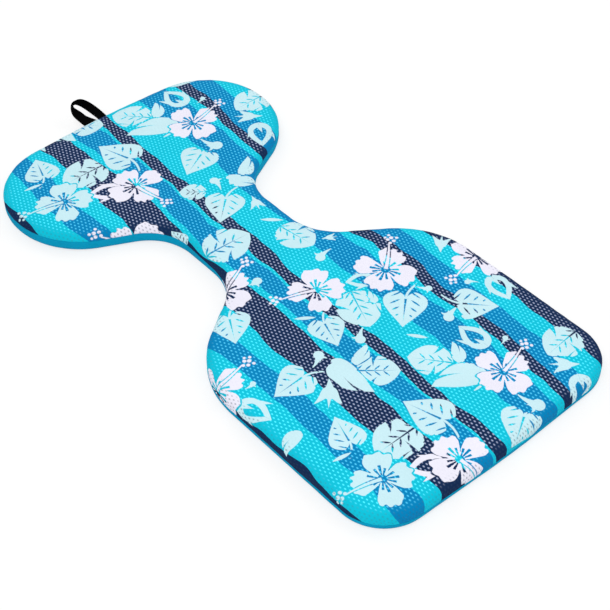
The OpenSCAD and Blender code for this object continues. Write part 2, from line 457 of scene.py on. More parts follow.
class WavyStripes(EffectGroup):
    """Lengthwise stripes whose edges wander like brush strokes."""

    title = "wavy stripes"
    takes = (("Place", "Vector", 0.0),)
    gives = (("Colour", "Color"),)
    half_width = 330 * MM
    slow_scale = 6.0
    slow_squeeze = 2.4
    slow_sway = 26 * MM
    quick_scale = 19.0
    quick_squeeze = 1.6
    quick_sway = 14 * MM

    def draw(self, graph: Graph, inputs: bpy.types.NodeOutputs) -> dict[str, Socket]:
        """Pushes the place sideways by slow and quick noise, then reads the stripes.

        Args:
            graph: The group's own tree.
            inputs: The sockets that the group takes.

        Returns:
            The value for each socket that the group gives.
        """
        x, y, _ = graph.split(inputs["Place"])
        slow_place = graph.join(graph.math("MULTIPLY", x, self.slow_squeeze), y)
        quick_place = graph.join(graph.math("MULTIPLY", x, self.quick_squeeze), y)
        slow = graph.math("MULTIPLY", graph.noise(slow_place, self.slow_scale, 0.0), self.slow_sway)
        quick = graph.math("MULTIPLY", graph.noise(quick_place, self.quick_scale, 1.0), self.quick_sway)
        middle = (self.slow_sway + self.quick_sway) / 2
        moved = graph.math("SUBTRACT", graph.math("ADD", x, graph.math("ADD", slow, quick)), middle)
        share = graph.math("DIVIDE", graph.math("ADD", moved, self.half_width), 2 * self.half_width)
        stops = [((s.start * MM + self.half_width) / 2 / self.half_width, s.colour.value) for s in STRIPES]
        return {"Colour": graph.bands(share, stops)}


class HibiscusBloom(EffectGroup):
    """A bloom of four ruffled petals with club-shaped marks, a long pistil and a spray of dots at its tip."""

    title = "hibiscus bloom"
    takes = (("Place", "Vector", 0.0),)
    gives = (("Shown", "Float"), ("Outline", "Float"))
    edge = 0.014
    first_gap = 42.0
    dots = (
        (1.21, 0.08, 0.055), (1.33, -0.01, 0.060), (1.35, 0.19, 0.060), (1.46, 0.10, 0.068),
        (1.50, -0.07, 0.052), (1.57, 0.20, 0.050), (1.43, 0.29, 0.045),
    )
    petal_edge = (
        (0, 0.12), (8, 0.30), (12, 0.62), (16, 0.86), (24, 0.94), (30, 0.89), (38, 1.0), (46, 0.93),
        (54, 0.98), (62, 0.90), (70, 0.84), (76, 0.62), (81, 0.35),
        (84, 0.26), (87, 0.45), (93, 0.76), (102, 0.87), (110, 0.83), (120, 0.93), (130, 0.88), (138, 0.94),
        (148, 0.86), (156, 0.90), (166, 0.78), (172, 0.60),
        (176, 0.34), (180, 0.62), (186, 0.84), (194, 0.94), (202, 0.89), (212, 1.0), (222, 0.93), (232, 0.97),
        (242, 0.90), (252, 0.80), (260, 0.58),
        (265, 0.38), (270, 0.62), (276, 0.79), (282, 0.87), (288, 0.81), (295, 0.94), (302, 0.87),
        (310, 0.98), (318, 0.91), (326, 0.98), (334, 0.88), (342, 0.84), (348, 0.62), (354, 0.35),
        (360, 0.12),
    )
    marks = (
        (26, 0.40), (48, 0.50), (70, 0.42), (104, 0.42), (128, 0.50), (154, 0.43), (194, 0.40), (217, 0.50),
        (241, 0.42), (284, 0.46), (336, 0.36),
    )
    mark_width = 6.2
    mark_ramp = 1.5
    hub = 0.15
    ruffle_scale = 4.5
    ruffle_depth = 0.12
    pistil_from = 0.03
    pistil_straight = 0.1
    pistil_to = 1.2
    pistil_bend = 0.10
    pistil_width = 0.062
    pistil_taper = 0.034
    pistil_gap = 0.036
    outline_edge = (-0.085, -0.055)

    def draw(self, graph: Graph, inputs: bpy.types.NodeOutputs) -> dict[str, Socket]:
        """Draws the petals by their polar edge, then cuts the marks and lays the pistil over them.

        Args:
            graph: The group's own tree.
            inputs: The sockets that the group takes.

        Returns:
            The value for each socket that the group gives.
        """
        u, v, _ = graph.split(inputs["Place"])
        radius = graph.distance(u, v)
        turn = graph.math("DIVIDE", graph.math("ARCTAN2", v, u), 2 * math.pi)
        share = graph.math("FRACT", graph.math("ADD", turn, 1 - self.first_gap / 360))
        wave = graph.math("SUBTRACT", graph.noise(inputs["Place"], self.ruffle_scale, 1.0), 0.5)
        ruffle = graph.math("MULTIPLY", wave, self.ruffle_depth)
        reach = graph.math("ADD", graph.curve(share, [(a / 360, r) for a, r in self.petal_edge]), ruffle)
        petal = graph.math("SUBTRACT", reach, radius)
        star = [(0.0, self.hub)]
        for angle, length in self.marks:
            half = self.mark_width
            star += [((angle - half - self.mark_ramp) / 360, self.hub), ((angle - half) / 360, length),
                     ((angle + half) / 360, length), ((angle + half + self.mark_ramp) / 360, self.hub)]
        cut = graph.math("SUBTRACT", graph.curve(share, [*star, (1.0, self.hub)], straight=True), radius)
        curve = graph.math("POWER", graph.math("SUBTRACT", u, self.pistil_straight), 2.0)
        bend = graph.math("MULTIPLY", curve, self.pistil_bend)
        aside = graph.math("ABSOLUTE", graph.math("SUBTRACT", v, bend))
        to_tip = graph.math("SUBTRACT", self.pistil_to, u)
        run = graph.math("MINIMUM", graph.math("SUBTRACT", u, self.pistil_from), to_tip)
        width = graph.math("MULTIPLY_ADD", u, -self.pistil_taper, self.pistil_width)
        wider = graph.math("ADD", width, self.pistil_gap)
        pistil = graph.math("MINIMUM", graph.math("SUBTRACT", width, aside), run)
        gap = graph.math("MINIMUM", graph.math("SUBTRACT", wider, aside), run)
        kept = [graph.math("MULTIPLY", taken, -1.0) for taken in (cut, gap)]
        flesh = graph.chain("MINIMUM", [petal, *kept])
        spray = [graph.math("SUBTRACT", size, graph.distance(u, v, x, y)) for x, y, size in self.dots]
        shown = graph.chain("MAXIMUM", [flesh, pistil, *spray])
        whole = graph.chain("MAXIMUM", [petal, gap, *spray])
        return {
            "Shown": graph.step(shown, -self.edge, self.edge),
            "Outline": graph.step(whole, *self.outline_edge),
        }


class LeafKind(IntEnum):
    """Kinds of leaf in the print."""

    NONE = 0
    HEART = 1
    SPLIT = 2
    BUD = 3
    CUP = 4
    CURL = 5
    DROP = 6
    SLIVER = 7


@dataclass(frozen=True)
class Disc:
    """A round spot of a leaf, in the leaf's own units."""

    x: float
    y: float
    radius: float


@dataclass(frozen=True)
class Spike:
    """A spike of a leaf: root, direction in degrees, length, half width, bend, and run behind the root."""

    x: float
    y: float
    heading: float
    length: float
    width: float
    bend: float = 0.0
    back: float = 0.0


@dataclass(frozen=True)
class Rib:
    """The middle rib of a leaf: where it starts and ends along the leaf, and its half width at the start."""

    start: float
    end: float
    width: float


@dataclass(frozen=True)
class Veins:
    """Slanting dashes beside a rib: lean to the tip, distance apart, half width and place of the last."""

    slope: float
    pitch: float
    width: float
    last: float


class PrintedLeaf(EffectGroup):
    """The print's leaves, each drawn along its own axis from -1 at the foot to 1 at the tip."""

    title = "printed leaf"
    takes = (("Place", "Vector", 0.0),)
    gives = (("Shown", "Float"),)
    edge = 0.018
    heart_side = [(0.0, 0.0), (0.05, 0.34), (0.11, 0.60), (0.19, 0.79), (0.29, 0.87), (0.42, 0.83),
                  (0.58, 0.65), (0.75, 0.40), (0.88, 0.18), (1.0, 0.0)]
    heart_notch = [(0.0, 0.55), (0.08, 0.28), (0.12, 0.16), (0.18, 0.06), (0.25, 0.0), (1.0, 0.0)]
    heart_rib = Rib(-0.5, 0.62, 0.050)
    heart_veins = Veins(0.7, 0.40, 0.050, 0.40)
    heart_vein_start = 0.20
    heart_vein_end = 0.72
    stem_start = -1.4
    stem_end = -0.52
    stem_width = 0.05
    stem_bow = 0.5
    split_side = [(0.0, 0.0), (0.04, 0.34), (0.10, 0.58), (0.22, 0.79), (0.40, 0.88), (0.60, 0.84),
                  (0.78, 0.62), (0.91, 0.33), (1.0, 0.0)]
    split_rib = Rib(-1.0, 0.62, 0.050)
    split_veins = Veins(0.9, 0.40, 0.056, 0.36)
    split_vein_span = (0.02, 0.33)
    split_notches = (Spike(-0.10, 0.92, -116, 0.66, 0.13, 0.45, 0.4),
                     Spike(-0.40, -0.86, 72, 0.56, 0.12, -0.5, 0.4))
    split_slit = Spike(0.55, 0.72, -165, 0.62, 0.06, -0.3, 0.4)
    bud_side = [(0.0, 0.0), (0.04, 0.28), (0.14, 0.52), (0.34, 0.66), (0.58, 0.60), (0.80, 0.34), (1.0, 0.0)]
    bud_hollow = [(0.0, 0.0), (0.16, 0.0), (0.24, 0.20), (0.38, 0.36), (0.54, 0.30), (0.72, 0.12),
                  (0.84, 0.0), (1.0, 0.0)]
    bud_tooth = Spike(-0.66, 0.0, 12, 0.55, 0.16)
    bud_flames = (Spike(-0.15, 0.50, 36, 0.72, 0.17, -0.2), Spike(-0.30, -0.46, -34, 0.62, 0.16, 0.2))
    cup_body = Disc(-0.05, 0.0, 0.42)
    cup_tips = (Spike(0.0, 0.20, 26, 1.0, 0.26, 0.2), Spike(0.0, -0.20, -26, 0.95, 0.26, -0.2),
                Spike(0.0, 0.0, 0, 0.95, 0.15))
    cup_stem = Spike(-0.1, 0.0, 180, 0.95, 0.30, 0.1)
    curl_head = Disc(0.46, 0.0, 0.40)
    curl_spur = Disc(0.02, -0.34, 0.30)
    curl_nick = Disc(-0.16, -0.46, 0.30)
    curl_bow = 0.30
    curl_taper = 0.20
    drop_side = [(0.0, 0.0), (0.05, 0.24), (0.16, 0.42), (0.36, 0.50), (0.60, 0.42), (0.82, 0.21), (1.0, 0.0)]
    drop_slit = Spike(0.78, -0.12, 190, 0.85, 0.07, -0.25, 0.3)
    drop_bow = 0.16
    sliver_width = 0.2
    number_slack = 0.3

    def draw(self, graph: Graph, inputs: bpy.types.NodeOutputs) -> dict[str, Socket]:
        """Draws every kind and lets through the one whose number the place carries.

        Args:
            graph: The group's own tree.
            inputs: The sockets that the group takes.

        Returns:
            The value for each socket that the group gives.
        """
        u, v, kind = graph.split(inputs["Place"])
        along = graph.math("MULTIPLY_ADD", u, 0.5, 0.5)
        aside = graph.math("ABSOLUTE", v)
        drawn = {
            LeafKind.HEART: self.heart(graph, u, v, along, aside),
            LeafKind.SPLIT: self.split_leaf(graph, u, v, along, aside),
            LeafKind.BUD: self.bud(graph, u, v, along, aside),
            LeafKind.CUP: self.cup(graph, u, v),
            LeafKind.CURL: self.curl(graph, u, v),
            LeafKind.DROP: self.drop(graph, u, v, along),
            LeafKind.SLIVER: self.sliver(graph, u, aside),
        }
        chosen = -1.0
        for number, value in drawn.items():
            match = graph.math("COMPARE", kind, float(number), self.number_slack)
            chosen = graph.choose(match, chosen, value)
        return {"Shown": graph.step(chosen, -self.edge, self.edge)}

    def without(self, graph: Graph, blade: Socket, cuts: list[Socket]) -> Socket:
        """Takes several cuts out of a blade; every value is above 0 inside its shape."""
        return graph.math("MINIMUM", blade, graph.math("MULTIPLY", graph.chain("MAXIMUM", cuts), -1.0))

    def disc(self, graph: Graph, u: Socket, v: Socket, shape: Disc) -> Socket:
        """Gives a value above 0 inside a disc."""
        return graph.math("SUBTRACT", shape.radius, graph.distance(u, v, shape.x, shape.y))

    def spike(self, graph: Graph, u: Socket, v: Socket, shape: Spike) -> Socket:
        """Draws a bent spike that tapers from its root to its tip.

        Args:
            graph: The group's own tree.
            u: Place along the leaf.
            v: Place across the leaf.
            shape: The spike.

        Returns:
            The value, which is above 0 inside the spike.
        """
        c, s = math.cos(math.radians(shape.heading)), math.sin(math.radians(shape.heading))
        du, dv = graph.math("SUBTRACT", u, shape.x), graph.math("SUBTRACT", v, shape.y)
        along = graph.math("MULTIPLY_ADD", du, c, graph.math("MULTIPLY", dv, s))
        straight = graph.math("MULTIPLY_ADD", dv, c, graph.math("MULTIPLY", du, -s))
        bow = graph.math("MULTIPLY", graph.math("POWER", along, 2.0), shape.bend)
        aside = graph.math("ABSOLUTE", graph.math("SUBTRACT", straight, bow))
        taper = graph.math("MULTIPLY_ADD", along, -shape.width / shape.length, shape.width)
        past_back = graph.math("ADD", along, shape.back)
        return graph.math("MINIMUM", graph.math("SUBTRACT", taper, aside), past_back)

    def rib(self, graph: Graph, u: Socket, aside: Socket, shape: Rib) -> Socket:
        """Draws the middle rib, which tapers towards the tip.

        Args:
            graph: The group's own tree.
            u: Place along the leaf.
            aside: Distance from the leaf's axis.
            shape: The rib.

        Returns:
            The value, which is above 0 on the rib.
        """
        thinning = shape.width / (shape.end - shape.start)
        taper = graph.math("MULTIPLY", graph.math("SUBTRACT", shape.end, u), thinning)
        past_start = graph.math("SUBTRACT", u, shape.start)
        return graph.math("MINIMUM", graph.math("SUBTRACT", taper, aside), past_start)

    def side_veins(
        self, graph: Graph, u: Socket, aside: Socket, span: tuple[Feed, Feed], shape: Veins
    ) -> Socket:
        """Draws short slanting dashes to both sides of the rib.

        Args:
            graph: The group's own tree.
            u: Place along the leaf.
            aside: Distance from the leaf's axis.
            span: Distances from the rib at which the dashes begin and end.
            shape: The dashes.

        Returns:
            The value, which is above 0 inside a dash.
        """
        lean = graph.math("SUBTRACT", u, graph.math("MULTIPLY", aside, shape.slope))
        phase = graph.math("SUBTRACT", graph.math("FRACT", graph.math("DIVIDE", lean, shape.pitch)), 0.5)
        past_begin = graph.math("SUBTRACT", aside, span[0])
        share = graph.math("DIVIDE", past_begin, graph.math("SUBTRACT", span[1], span[0]))
        fullness = graph.math("MULTIPLY", share, graph.math("SUBTRACT", 1.0, share))
        off_line = graph.math("MULTIPLY", graph.math("ABSOLUTE", phase), shape.pitch)
        line = graph.math("SUBTRACT", graph.math("MULTIPLY", fullness, 4 * shape.width), off_line)
        return graph.math("MINIMUM", line, graph.math("SUBTRACT", shape.last, lean))

    def heart(self, graph: Graph, u: Socket, v: Socket, along: Socket, aside: Socket) -> Socket:
        """Draws a heart-shaped leaf with its rib, side veins and a thin stem.

        Args:
            graph: The group's own tree.
            u: Place along the leaf.
            v: Place across the leaf.
            along: Place along the leaf from 0 at its foot to 1 at its tip.
            aside: Distance from the leaf's axis.

        Returns:
            The value, which is above 0 inside the leaf.
        """
        side = graph.curve(along, self.heart_side)
        whole = graph.math("SUBTRACT", side, aside)
        outside_notch = graph.math("SUBTRACT", aside, graph.curve(along, self.heart_notch))
        past_notch = graph.math("GREATER_THAN", u, self.heart_rib.start)
        blade = graph.choose(past_notch, graph.math("MINIMUM", whole, outside_notch), whole)
        rib = self.rib(graph, u, aside, self.heart_rib)
        span = (self.heart_vein_start, graph.math("MULTIPLY", side, self.heart_vein_end))
        veins = self.side_veins(graph, u, aside, span, self.heart_veins)
        from_rib = graph.math("SUBTRACT", u, self.heart_rib.start)
        bow = graph.math("MULTIPLY", graph.math("POWER", from_rib, 2.0), self.stem_bow)
        off_stem = graph.math("ABSOLUTE", graph.math("SUBTRACT", v, bow))
        stem = graph.chain("MINIMUM", [
            graph.math("SUBTRACT", self.stem_width, off_stem),
            graph.math("SUBTRACT", self.stem_end, u),
            graph.math("SUBTRACT", u, self.stem_start),
        ])
        return graph.math("MAXIMUM", self.without(graph, blade, [rib, veins]), stem)

    def split_leaf(self, graph: Graph, u: Socket, v: Socket, along: Socket, aside: Socket) -> Socket:
        """Draws a round leaf with two notches and a slit in its edge, and a rib with drop-shaped side veins.

        Args:
            graph: The group's own tree.
            u: Place along the leaf.
            v: Place across the leaf.
            along: Place along the leaf from 0 at its foot to 1 at its tip.
            aside: Distance from the leaf's axis.

        Returns:
            The value, which is above 0 inside the leaf.
        """
        blade = graph.math("SUBTRACT", graph.curve(along, self.split_side), aside)
        rib = self.rib(graph, u, aside, self.split_rib)
        veins = self.side_veins(graph, u, aside, self.split_vein_span, self.split_veins)
        cuts = [self.spike(graph, u, v, shape) for shape in (*self.split_notches, self.split_slit)]
        return self.without(graph, blade, [rib, veins, *cuts])

    def bud(self, graph: Graph, u: Socket, v: Socket, along: Socket, aside: Socket) -> Socket:
        """Draws an open bud: pointed leaves around an eye-shaped hollow, with two flame-like tips outside.

        Args:
            graph: The group's own tree.
            u: Place along the leaf.
            v: Place across the leaf.
            along: Place along the leaf from 0 at its foot to 1 at its tip.
            aside: Distance from the leaf's axis.

        Returns:
            The value, which is above 0 inside the leaf.
        """
        blade = graph.math("SUBTRACT", graph.curve(along, self.bud_side), aside)
        hollow = graph.math("SUBTRACT", graph.curve(along, self.bud_hollow), aside)
        tooth = self.spike(graph, u, v, self.bud_tooth)
        flames = [self.spike(graph, u, v, shape) for shape in self.bud_flames]
        ring = self.without(graph, graph.chain("MAXIMUM", [blade, *flames]), [hollow])
        return graph.math("MAXIMUM", ring, tooth)

    def cup(self, graph: Graph, u: Socket, v: Socket) -> Socket:
        """Draws an opening bud: a body that narrows to its stem, with three pointed tips.

        Args:
            graph: The group's own tree.
            u: Place along the leaf.
            v: Place across the leaf.

        Returns:
            The value, which is above 0 inside the leaf.
        """
        body = self.disc(graph, u, v, self.cup_body)
        spikes = [self.spike(graph, u, v, shape) for shape in (*self.cup_tips, self.cup_stem)]
        return graph.chain("MAXIMUM", [body, *spikes])

    def curl(self, graph: Graph, u: Socket, v: Socket) -> Socket:
        """Draws a comma: a round head with a curved tail and a small spur beside it.

        Args:
            graph: The group's own tree.
            u: Place along the leaf.
            v: Place across the leaf.

        Returns:
            The value, which is above 0 inside the leaf.
        """
        head = self.disc(graph, u, v, self.curl_head)
        behind = graph.math("SUBTRACT", self.curl_head.x, u)
        bow = graph.math("MULTIPLY", graph.math("POWER", behind, 2.0), self.curl_bow)
        taper = graph.math("MULTIPLY", graph.math("ADD", u, 1.0), self.curl_taper)
        tail = graph.math("SUBTRACT", taper, graph.math("ABSOLUTE", graph.math("SUBTRACT", v, bow)))
        nick = self.disc(graph, u, v, self.curl_nick)
        spur = self.without(graph, self.disc(graph, u, v, self.curl_spur), [nick])
        return graph.chain("MAXIMUM", [head, graph.math("MINIMUM", tail, behind), spur])

    def drop(self, graph: Graph, u: Socket, v: Socket, along: Socket) -> Socket:
        """Draws a bent leaf, blunt at its foot and pointed at its tip, with a slit in from the tip.

        Args:
            graph: The group's own tree.
            u: Place along the leaf.
            v: Place across the leaf.
            along: Place along the leaf from 0 at its foot to 1 at its tip.

        Returns:
            The value, which is above 0 inside the leaf.
        """
        bow = graph.math("MULTIPLY", graph.math("POWER", u, 2.0), self.drop_bow)
        aside = graph.math("ABSOLUTE", graph.math("SUBTRACT", v, bow))
        blade = graph.math("SUBTRACT", graph.curve(along, self.drop_side), aside)
        return self.without(graph, blade, [self.spike(graph, u, v, self.drop_slit)])

    def sliver(self, graph: Graph, u: Socket, aside: Socket) -> Socket:
        """Draws a narrow pointed leaf."""
        fullness = graph.math("SUBTRACT", 1.0, graph.math("POWER", u, 2.0))
        return graph.math("SUBTRACT", graph.math("MULTIPLY", fullness, self.sliver_width), aside)


class WovenRibs(EffectGroup):
    """Woven webbing: fine ribs across with a twill that leans along the strip."""

    title = "woven ribs"
    takes = (("Place", "Vector", 0.0), ("Pitch", "Float", 1.1 * MM))
    gives = (("Height", "Float"), ("Tone", "Float"))
    zigzag_width = 2.5 * MM
    rib_turns = 1.3
    rib_share = 0.6
    swing = 0.3
    fluff_scale = 1400.0
    fluff_share = 0.5

    def draw(self, graph: Graph, inputs: bpy.types.NodeOutputs) -> dict[str, Socket]:
        """Makes slanting yarns that change direction across the strip.

        Args:
            graph: The group's own tree.
            inputs: The sockets that the group takes.

        Returns:
            The value for each socket that the group gives.
        """
        across, along, _ = graph.split(inputs["Place"])
        turns = graph.math("DIVIDE", 2 * math.pi, inputs["Pitch"])
        zigzag = graph.math("PINGPONG", across, self.zigzag_width)
        lean = graph.math("SINE", graph.math("MULTIPLY", graph.math("ADD", along, zigzag), turns))
        rib_phase = graph.math("MULTIPLY", graph.math("MULTIPLY", across, turns), self.rib_turns)
        rib = graph.math("SINE", rib_phase)
        weave = graph.math("MULTIPLY_ADD", rib, self.rib_share, lean)
        height = graph.math("MULTIPLY_ADD", weave, self.swing, 0.5)
        fluff = graph.noise(inputs["Place"], self.fluff_scale, 2.0)
        return {"Height": height, "Tone": graph.choose(self.fluff_share, height, fluff)}


@dataclass(frozen=True)
class EffectSet:
    """The shared node groups, built once."""

    knit: KnitLoops = field(default_factory=KnitLoops)
    holes: MeshHoles = field(default_factory=MeshHoles)
    stripes: WavyStripes = field(default_factory=WavyStripes)
    bloom: HibiscusBloom = field(default_factory=HibiscusBloom)
    leaf: PrintedLeaf = field(default_factory=PrintedLeaf)
    ribs: WovenRibs = field(default_factory=WovenRibs)


@dataclass(frozen=True)
class Finish:
    """What all finishes share: a matt cloth-like surface."""

    title: str
    roughness: float = 0.9
    specular: float = 0.06
    relief: float = 0.3 * MM
    relief_share: float = 0.8

    def start(self) -> tuple[bpy.types.Material, Graph, bpy.types.Node]:
        """Makes the material with its surface shader.

        Returns:
            The material, its graph and the surface node.
        """
        material = bpy.data.materials.new(self.title)
        material.use_nodes = True
        graph = Graph(material.node_tree)
        surface = graph.node("BsdfPrincipled")
        surface.inputs["Roughness"].default_value = self.roughness
        surface.inputs["Specular IOR Level"].default_value = self.specular
        output = graph.node("OutputMaterial")
        graph.feed(output.inputs["Surface"], surface.outputs[0])
        return material, graph, surface

    def raise_by(self, graph: Graph, surface: bpy.types.Node, height: Socket) -> None:
        """Lets a height bend the surface's normal, as far as the finish's relief says.

        Args:
            graph: The material's tree.
            surface: The surface node.
            height: The height, from 0 to 1.
        """
        bump = graph.node("Bump")
        bump.inputs["Distance"].default_value = self.relief
        bump.inputs["Strength"].default_value = self.relief_share
        graph.feed(bump.inputs["Height"], height)
        graph.feed(surface.inputs["Normal"], bump.outputs[0])

    def read(self, graph: Graph, name: str) -> bpy.types.Node:
        """Reads one of the piece's own attributes."""
        return graph.node("Attribute", attribute_name=name)


@dataclass(frozen=True)
class PrintedMesh(Finish):
    """Open mesh with the wavy stripes, blooms and leaves printed on it and the foam showing in its holes; on
    the rolled edge the holes are darkened by painted shade instead.
    """

    title: str = "printed mesh"
    relief: float = 0.35 * MM
    relief_share: float = 0.6
    pitch: float = 1.3 * MM
    bloom_white: Colour = linear(240, 238, 252)
    ice: Colour = linear(203, 238, 246)
    glow_bright: Colour = (0.085, 0.42, 0.48)
    glow_dark: Colour = (0.40, 0.44, 0.58)
    # Painted shade: the shadow colour and strengths that darken the holes on the rolled edge, as if the foam
    # in them lay in shade.
    painted_hole_shadow: Colour = linear(60, 80, 105)
    painted_shadow_ground: float = 0.26
    painted_shadow_motif: float = 0.25
    bright_green: tuple[float, float] = (0.06, 0.2)
    leaf_lead: tuple[float, float] = (0.02, 0.05)
    tone_low: float = 0.89
    tone_span: float = 0.22
    knit_height: float = 0.25

    def make(self, effects: EffectSet) -> bpy.types.Material:
        """Builds the material from the shared effects.

        Args:
            effects: The shared node groups.

        Returns:
            The finished material.
        """
        material, graph, surface = self.start()
        cloth = self.read(graph, TopCover.cloth_map).outputs["Vector"]
        bloom_place = self.read(graph, PrintLayout.bloom_name).outputs["Vector"]
        leaf_place = self.read(graph, PrintLayout.leaf_name).outputs["Vector"]
        tints = self.read(graph, PrintLayout.tint_name).outputs["Vector"]
        bloom_tint, leaf_tint, flat_share = graph.split(tints)
        _, _, lead = graph.split(bloom_place)

        knit = effects.knit.place(graph, Place=cloth, Pitch=self.pitch)
        holes = effects.holes.place(graph, Place=cloth)
        stripes = effects.stripes.place(graph, Place=cloth)["Colour"]
        bloom = effects.bloom.place(graph, Place=bloom_place)
        leaf = effects.leaf.place(graph, Place=leaf_place)

        # The foam's colour shows in the holes only on the flat top, where it is taken as lit; on the rolled
        # edge it is left out, as part of the painted shade there.
        lit_hole_share = graph.math("MULTIPLY", holes["Hole"], flat_share)
        _, green, _ = graph.split(stripes)
        glow = graph.mix(graph.step(green, *self.bright_green), self.glow_dark, self.glow_bright)
        ground = graph.mix(lit_hole_share, stripes, glow, "ADD")
        leaf_colour = graph.mix(leaf_tint, self.ice, self.bloom_white)
        uncovered = graph.math("SUBTRACT", 1.0, bloom["Outline"])
        clear = graph.math("MULTIPLY", uncovered, graph.step(lead, *self.leaf_lead))
        leaf_shown = graph.math("MULTIPLY", leaf["Shown"], clear)
        printed = graph.mix(leaf_shown, ground, leaf_colour)
        bloom_colour = graph.mix(bloom_tint, self.ice, self.bloom_white)
        printed = graph.mix(bloom["Shown"], printed, bloom_colour)
        # Painted shade: the holes on the rolled edge are darkened towards a shadow colour, more under the
        # motifs than on the ground.
        rolled = graph.math("MULTIPLY", holes["Hole"], graph.math("SUBTRACT", 1.0, flat_share))
        motif = graph.math("MAXIMUM", leaf_shown, bloom["Shown"])
        depth = graph.math("MULTIPLY_ADD", motif, self.painted_shadow_motif, self.painted_shadow_ground)
        printed = graph.mix(graph.math("MULTIPLY", rolled, depth), printed, self.painted_hole_shadow)
        tone = graph.node("HueSaturation")
        graph.feed(tone.inputs["Color"], printed)
        value = graph.math("MULTIPLY_ADD", knit["Tone"], self.tone_span, self.tone_low)
        graph.feed(tone.inputs["Value"], value)
        graph.feed(surface.inputs["Base Color"], tone.outputs[0])
        height = graph.math("MULTIPLY_ADD", knit["Height"], self.knit_height, holes["Ridge"])
        self.raise_by(graph, surface, height)
        return material


@dataclass(frozen=True)
class PlainKnit(Finish):
    """Plain cyan-blue base fabric with a fine knit."""

    title: str = "plain knit"
    relief: float = 0.2 * MM
    relief_share: float = 0.5
    pitch: float = 0.9 * MM
    colour: Colour = linear(6, 156, 196)
    tone_low: float = 0.85
    tone_span: float = 0.3

    def make(self, effects: EffectSet) -> bpy.types.Material:
        """Builds the material from the shared effects.

        Args:
            effects: The shared node groups.

        Returns:
            The finished material.
        """
        material, graph, surface = self.start()
        cloth = self.read(graph, BottomCover.cloth_map).outputs["Vector"]
        knit = effects.knit.place(graph, Place=cloth, Pitch=self.pitch)
        tone = graph.node("HueSaturation")
        tone.inputs["Color"].default_value = (*self.colour, 1.0)
        value = graph.math("MULTIPLY_ADD", knit["Tone"], self.tone_span, self.tone_low)
        graph.feed(tone.inputs["Value"], value)
        graph.feed(surface.inputs["Base Color"], tone.outputs[0])
        self.raise_by(graph, surface, knit["Height"])
        return material


@dataclass(frozen=True)
class Webbing(Finish):
    """Black woven webbing; the strip's own map, or plain object coordinates inside the seam."""

    title: str = "webbing"
    roughness: float = 0.8
    specular: float = 0.02
    dark: Colour = linear(1, 1, 1)
    light: Colour = linear(4, 4, 4)
    own_map: str = ""

    def make(self, effects: EffectSet) -> bpy.types.Material:
        """Builds the material from the shared effects.

        Args:
            effects: The shared node groups.

        Returns:
            The finished material.
        """
        material, graph, surface = self.start()
        if self.own_map:
            place = self.read(graph, self.own_map).outputs["Vector"]
        else:
            place = graph.node("TexCoord").outputs["Object"]
        ribs = effects.ribs.place(graph, Place=place)
        graph.feed(surface.inputs["Base Color"], graph.mix(ribs["Tone"], self.dark, self.light))
        self.raise_by(graph, surface, ribs["Height"])
        return material


@dataclass(frozen=True)
class InnerCloth(Finish):
    """Knitted or stitched stuff inside the cover, on object coordinates."""

    title: str = "overlocked edge"
    relief: float = 0.4 * MM
    dark: Colour = linear(8, 120, 150)
    light: Colour = linear(60, 190, 215)
    pitch: float = 2.2 * MM

    def make(self, effects: EffectSet) -> bpy.types.Material:
        """Builds the material from the shared effects.

        Args:
            effects: The shared node groups.

        Returns:
            The finished material.
        """
        material, graph, surface = self.start()
        place = graph.node("TexCoord").outputs["Object"]
        knit = effects.knit.place(graph, Place=place, Pitch=self.pitch)
        graph.feed(surface.inputs["Base Color"], graph.mix(knit["Height"], self.dark, self.light))
        self.raise_by(graph, surface, knit["Height"])
        return material


@dataclass(frozen=True)
class Foam(Finish):
    """White closed-cell foam with a fine cell texture."""

    title: str = "closed-cell foam"
    relief_share: float = 0.5
    dark: Colour = linear(214, 218, 220)
    light: Colour = linear(246, 248, 249)
    cell_scale: float = 900.0
    cell_share: float = 0.6

    def make(self, effects: EffectSet) -> bpy.types.Material:
        """Builds the material: cells of about a millimetre, on object coordinates.

        Args:
            effects: The shared node groups.

        Returns:
            The finished material.
        """
        material, graph, surface = self.start()
        place = graph.node("TexCoord").outputs["Object"]
        cells = graph.node("TexVoronoi")
        graph.feed(cells.inputs["Vector"], place)
        cells.inputs["Scale"].default_value = self.cell_scale
        blotches = effects.knit.place(graph, Place=place)["Tone"]
        share = graph.choose(self.cell_share, blotches, cells.outputs["Distance"])
        graph.feed(surface.inputs["Base Color"], graph.mix(share, self.light, self.dark))
        self.raise_by(graph, surface, cells.outputs["Distance"])
        return material


@dataclass(frozen=True)
class Corner:
    """A corner of the plan before it is rounded."""

    x: float
    y: float
    radius: float

    @property
    def place(self) -> Vector:
        """The corner as a point of the plan."""
        return Vector((self.x, self.y, 0.0))

    def flipped(self) -> "Corner":
        """The same corner on the left side."""
        return Corner(-self.x, self.y, self.radius)


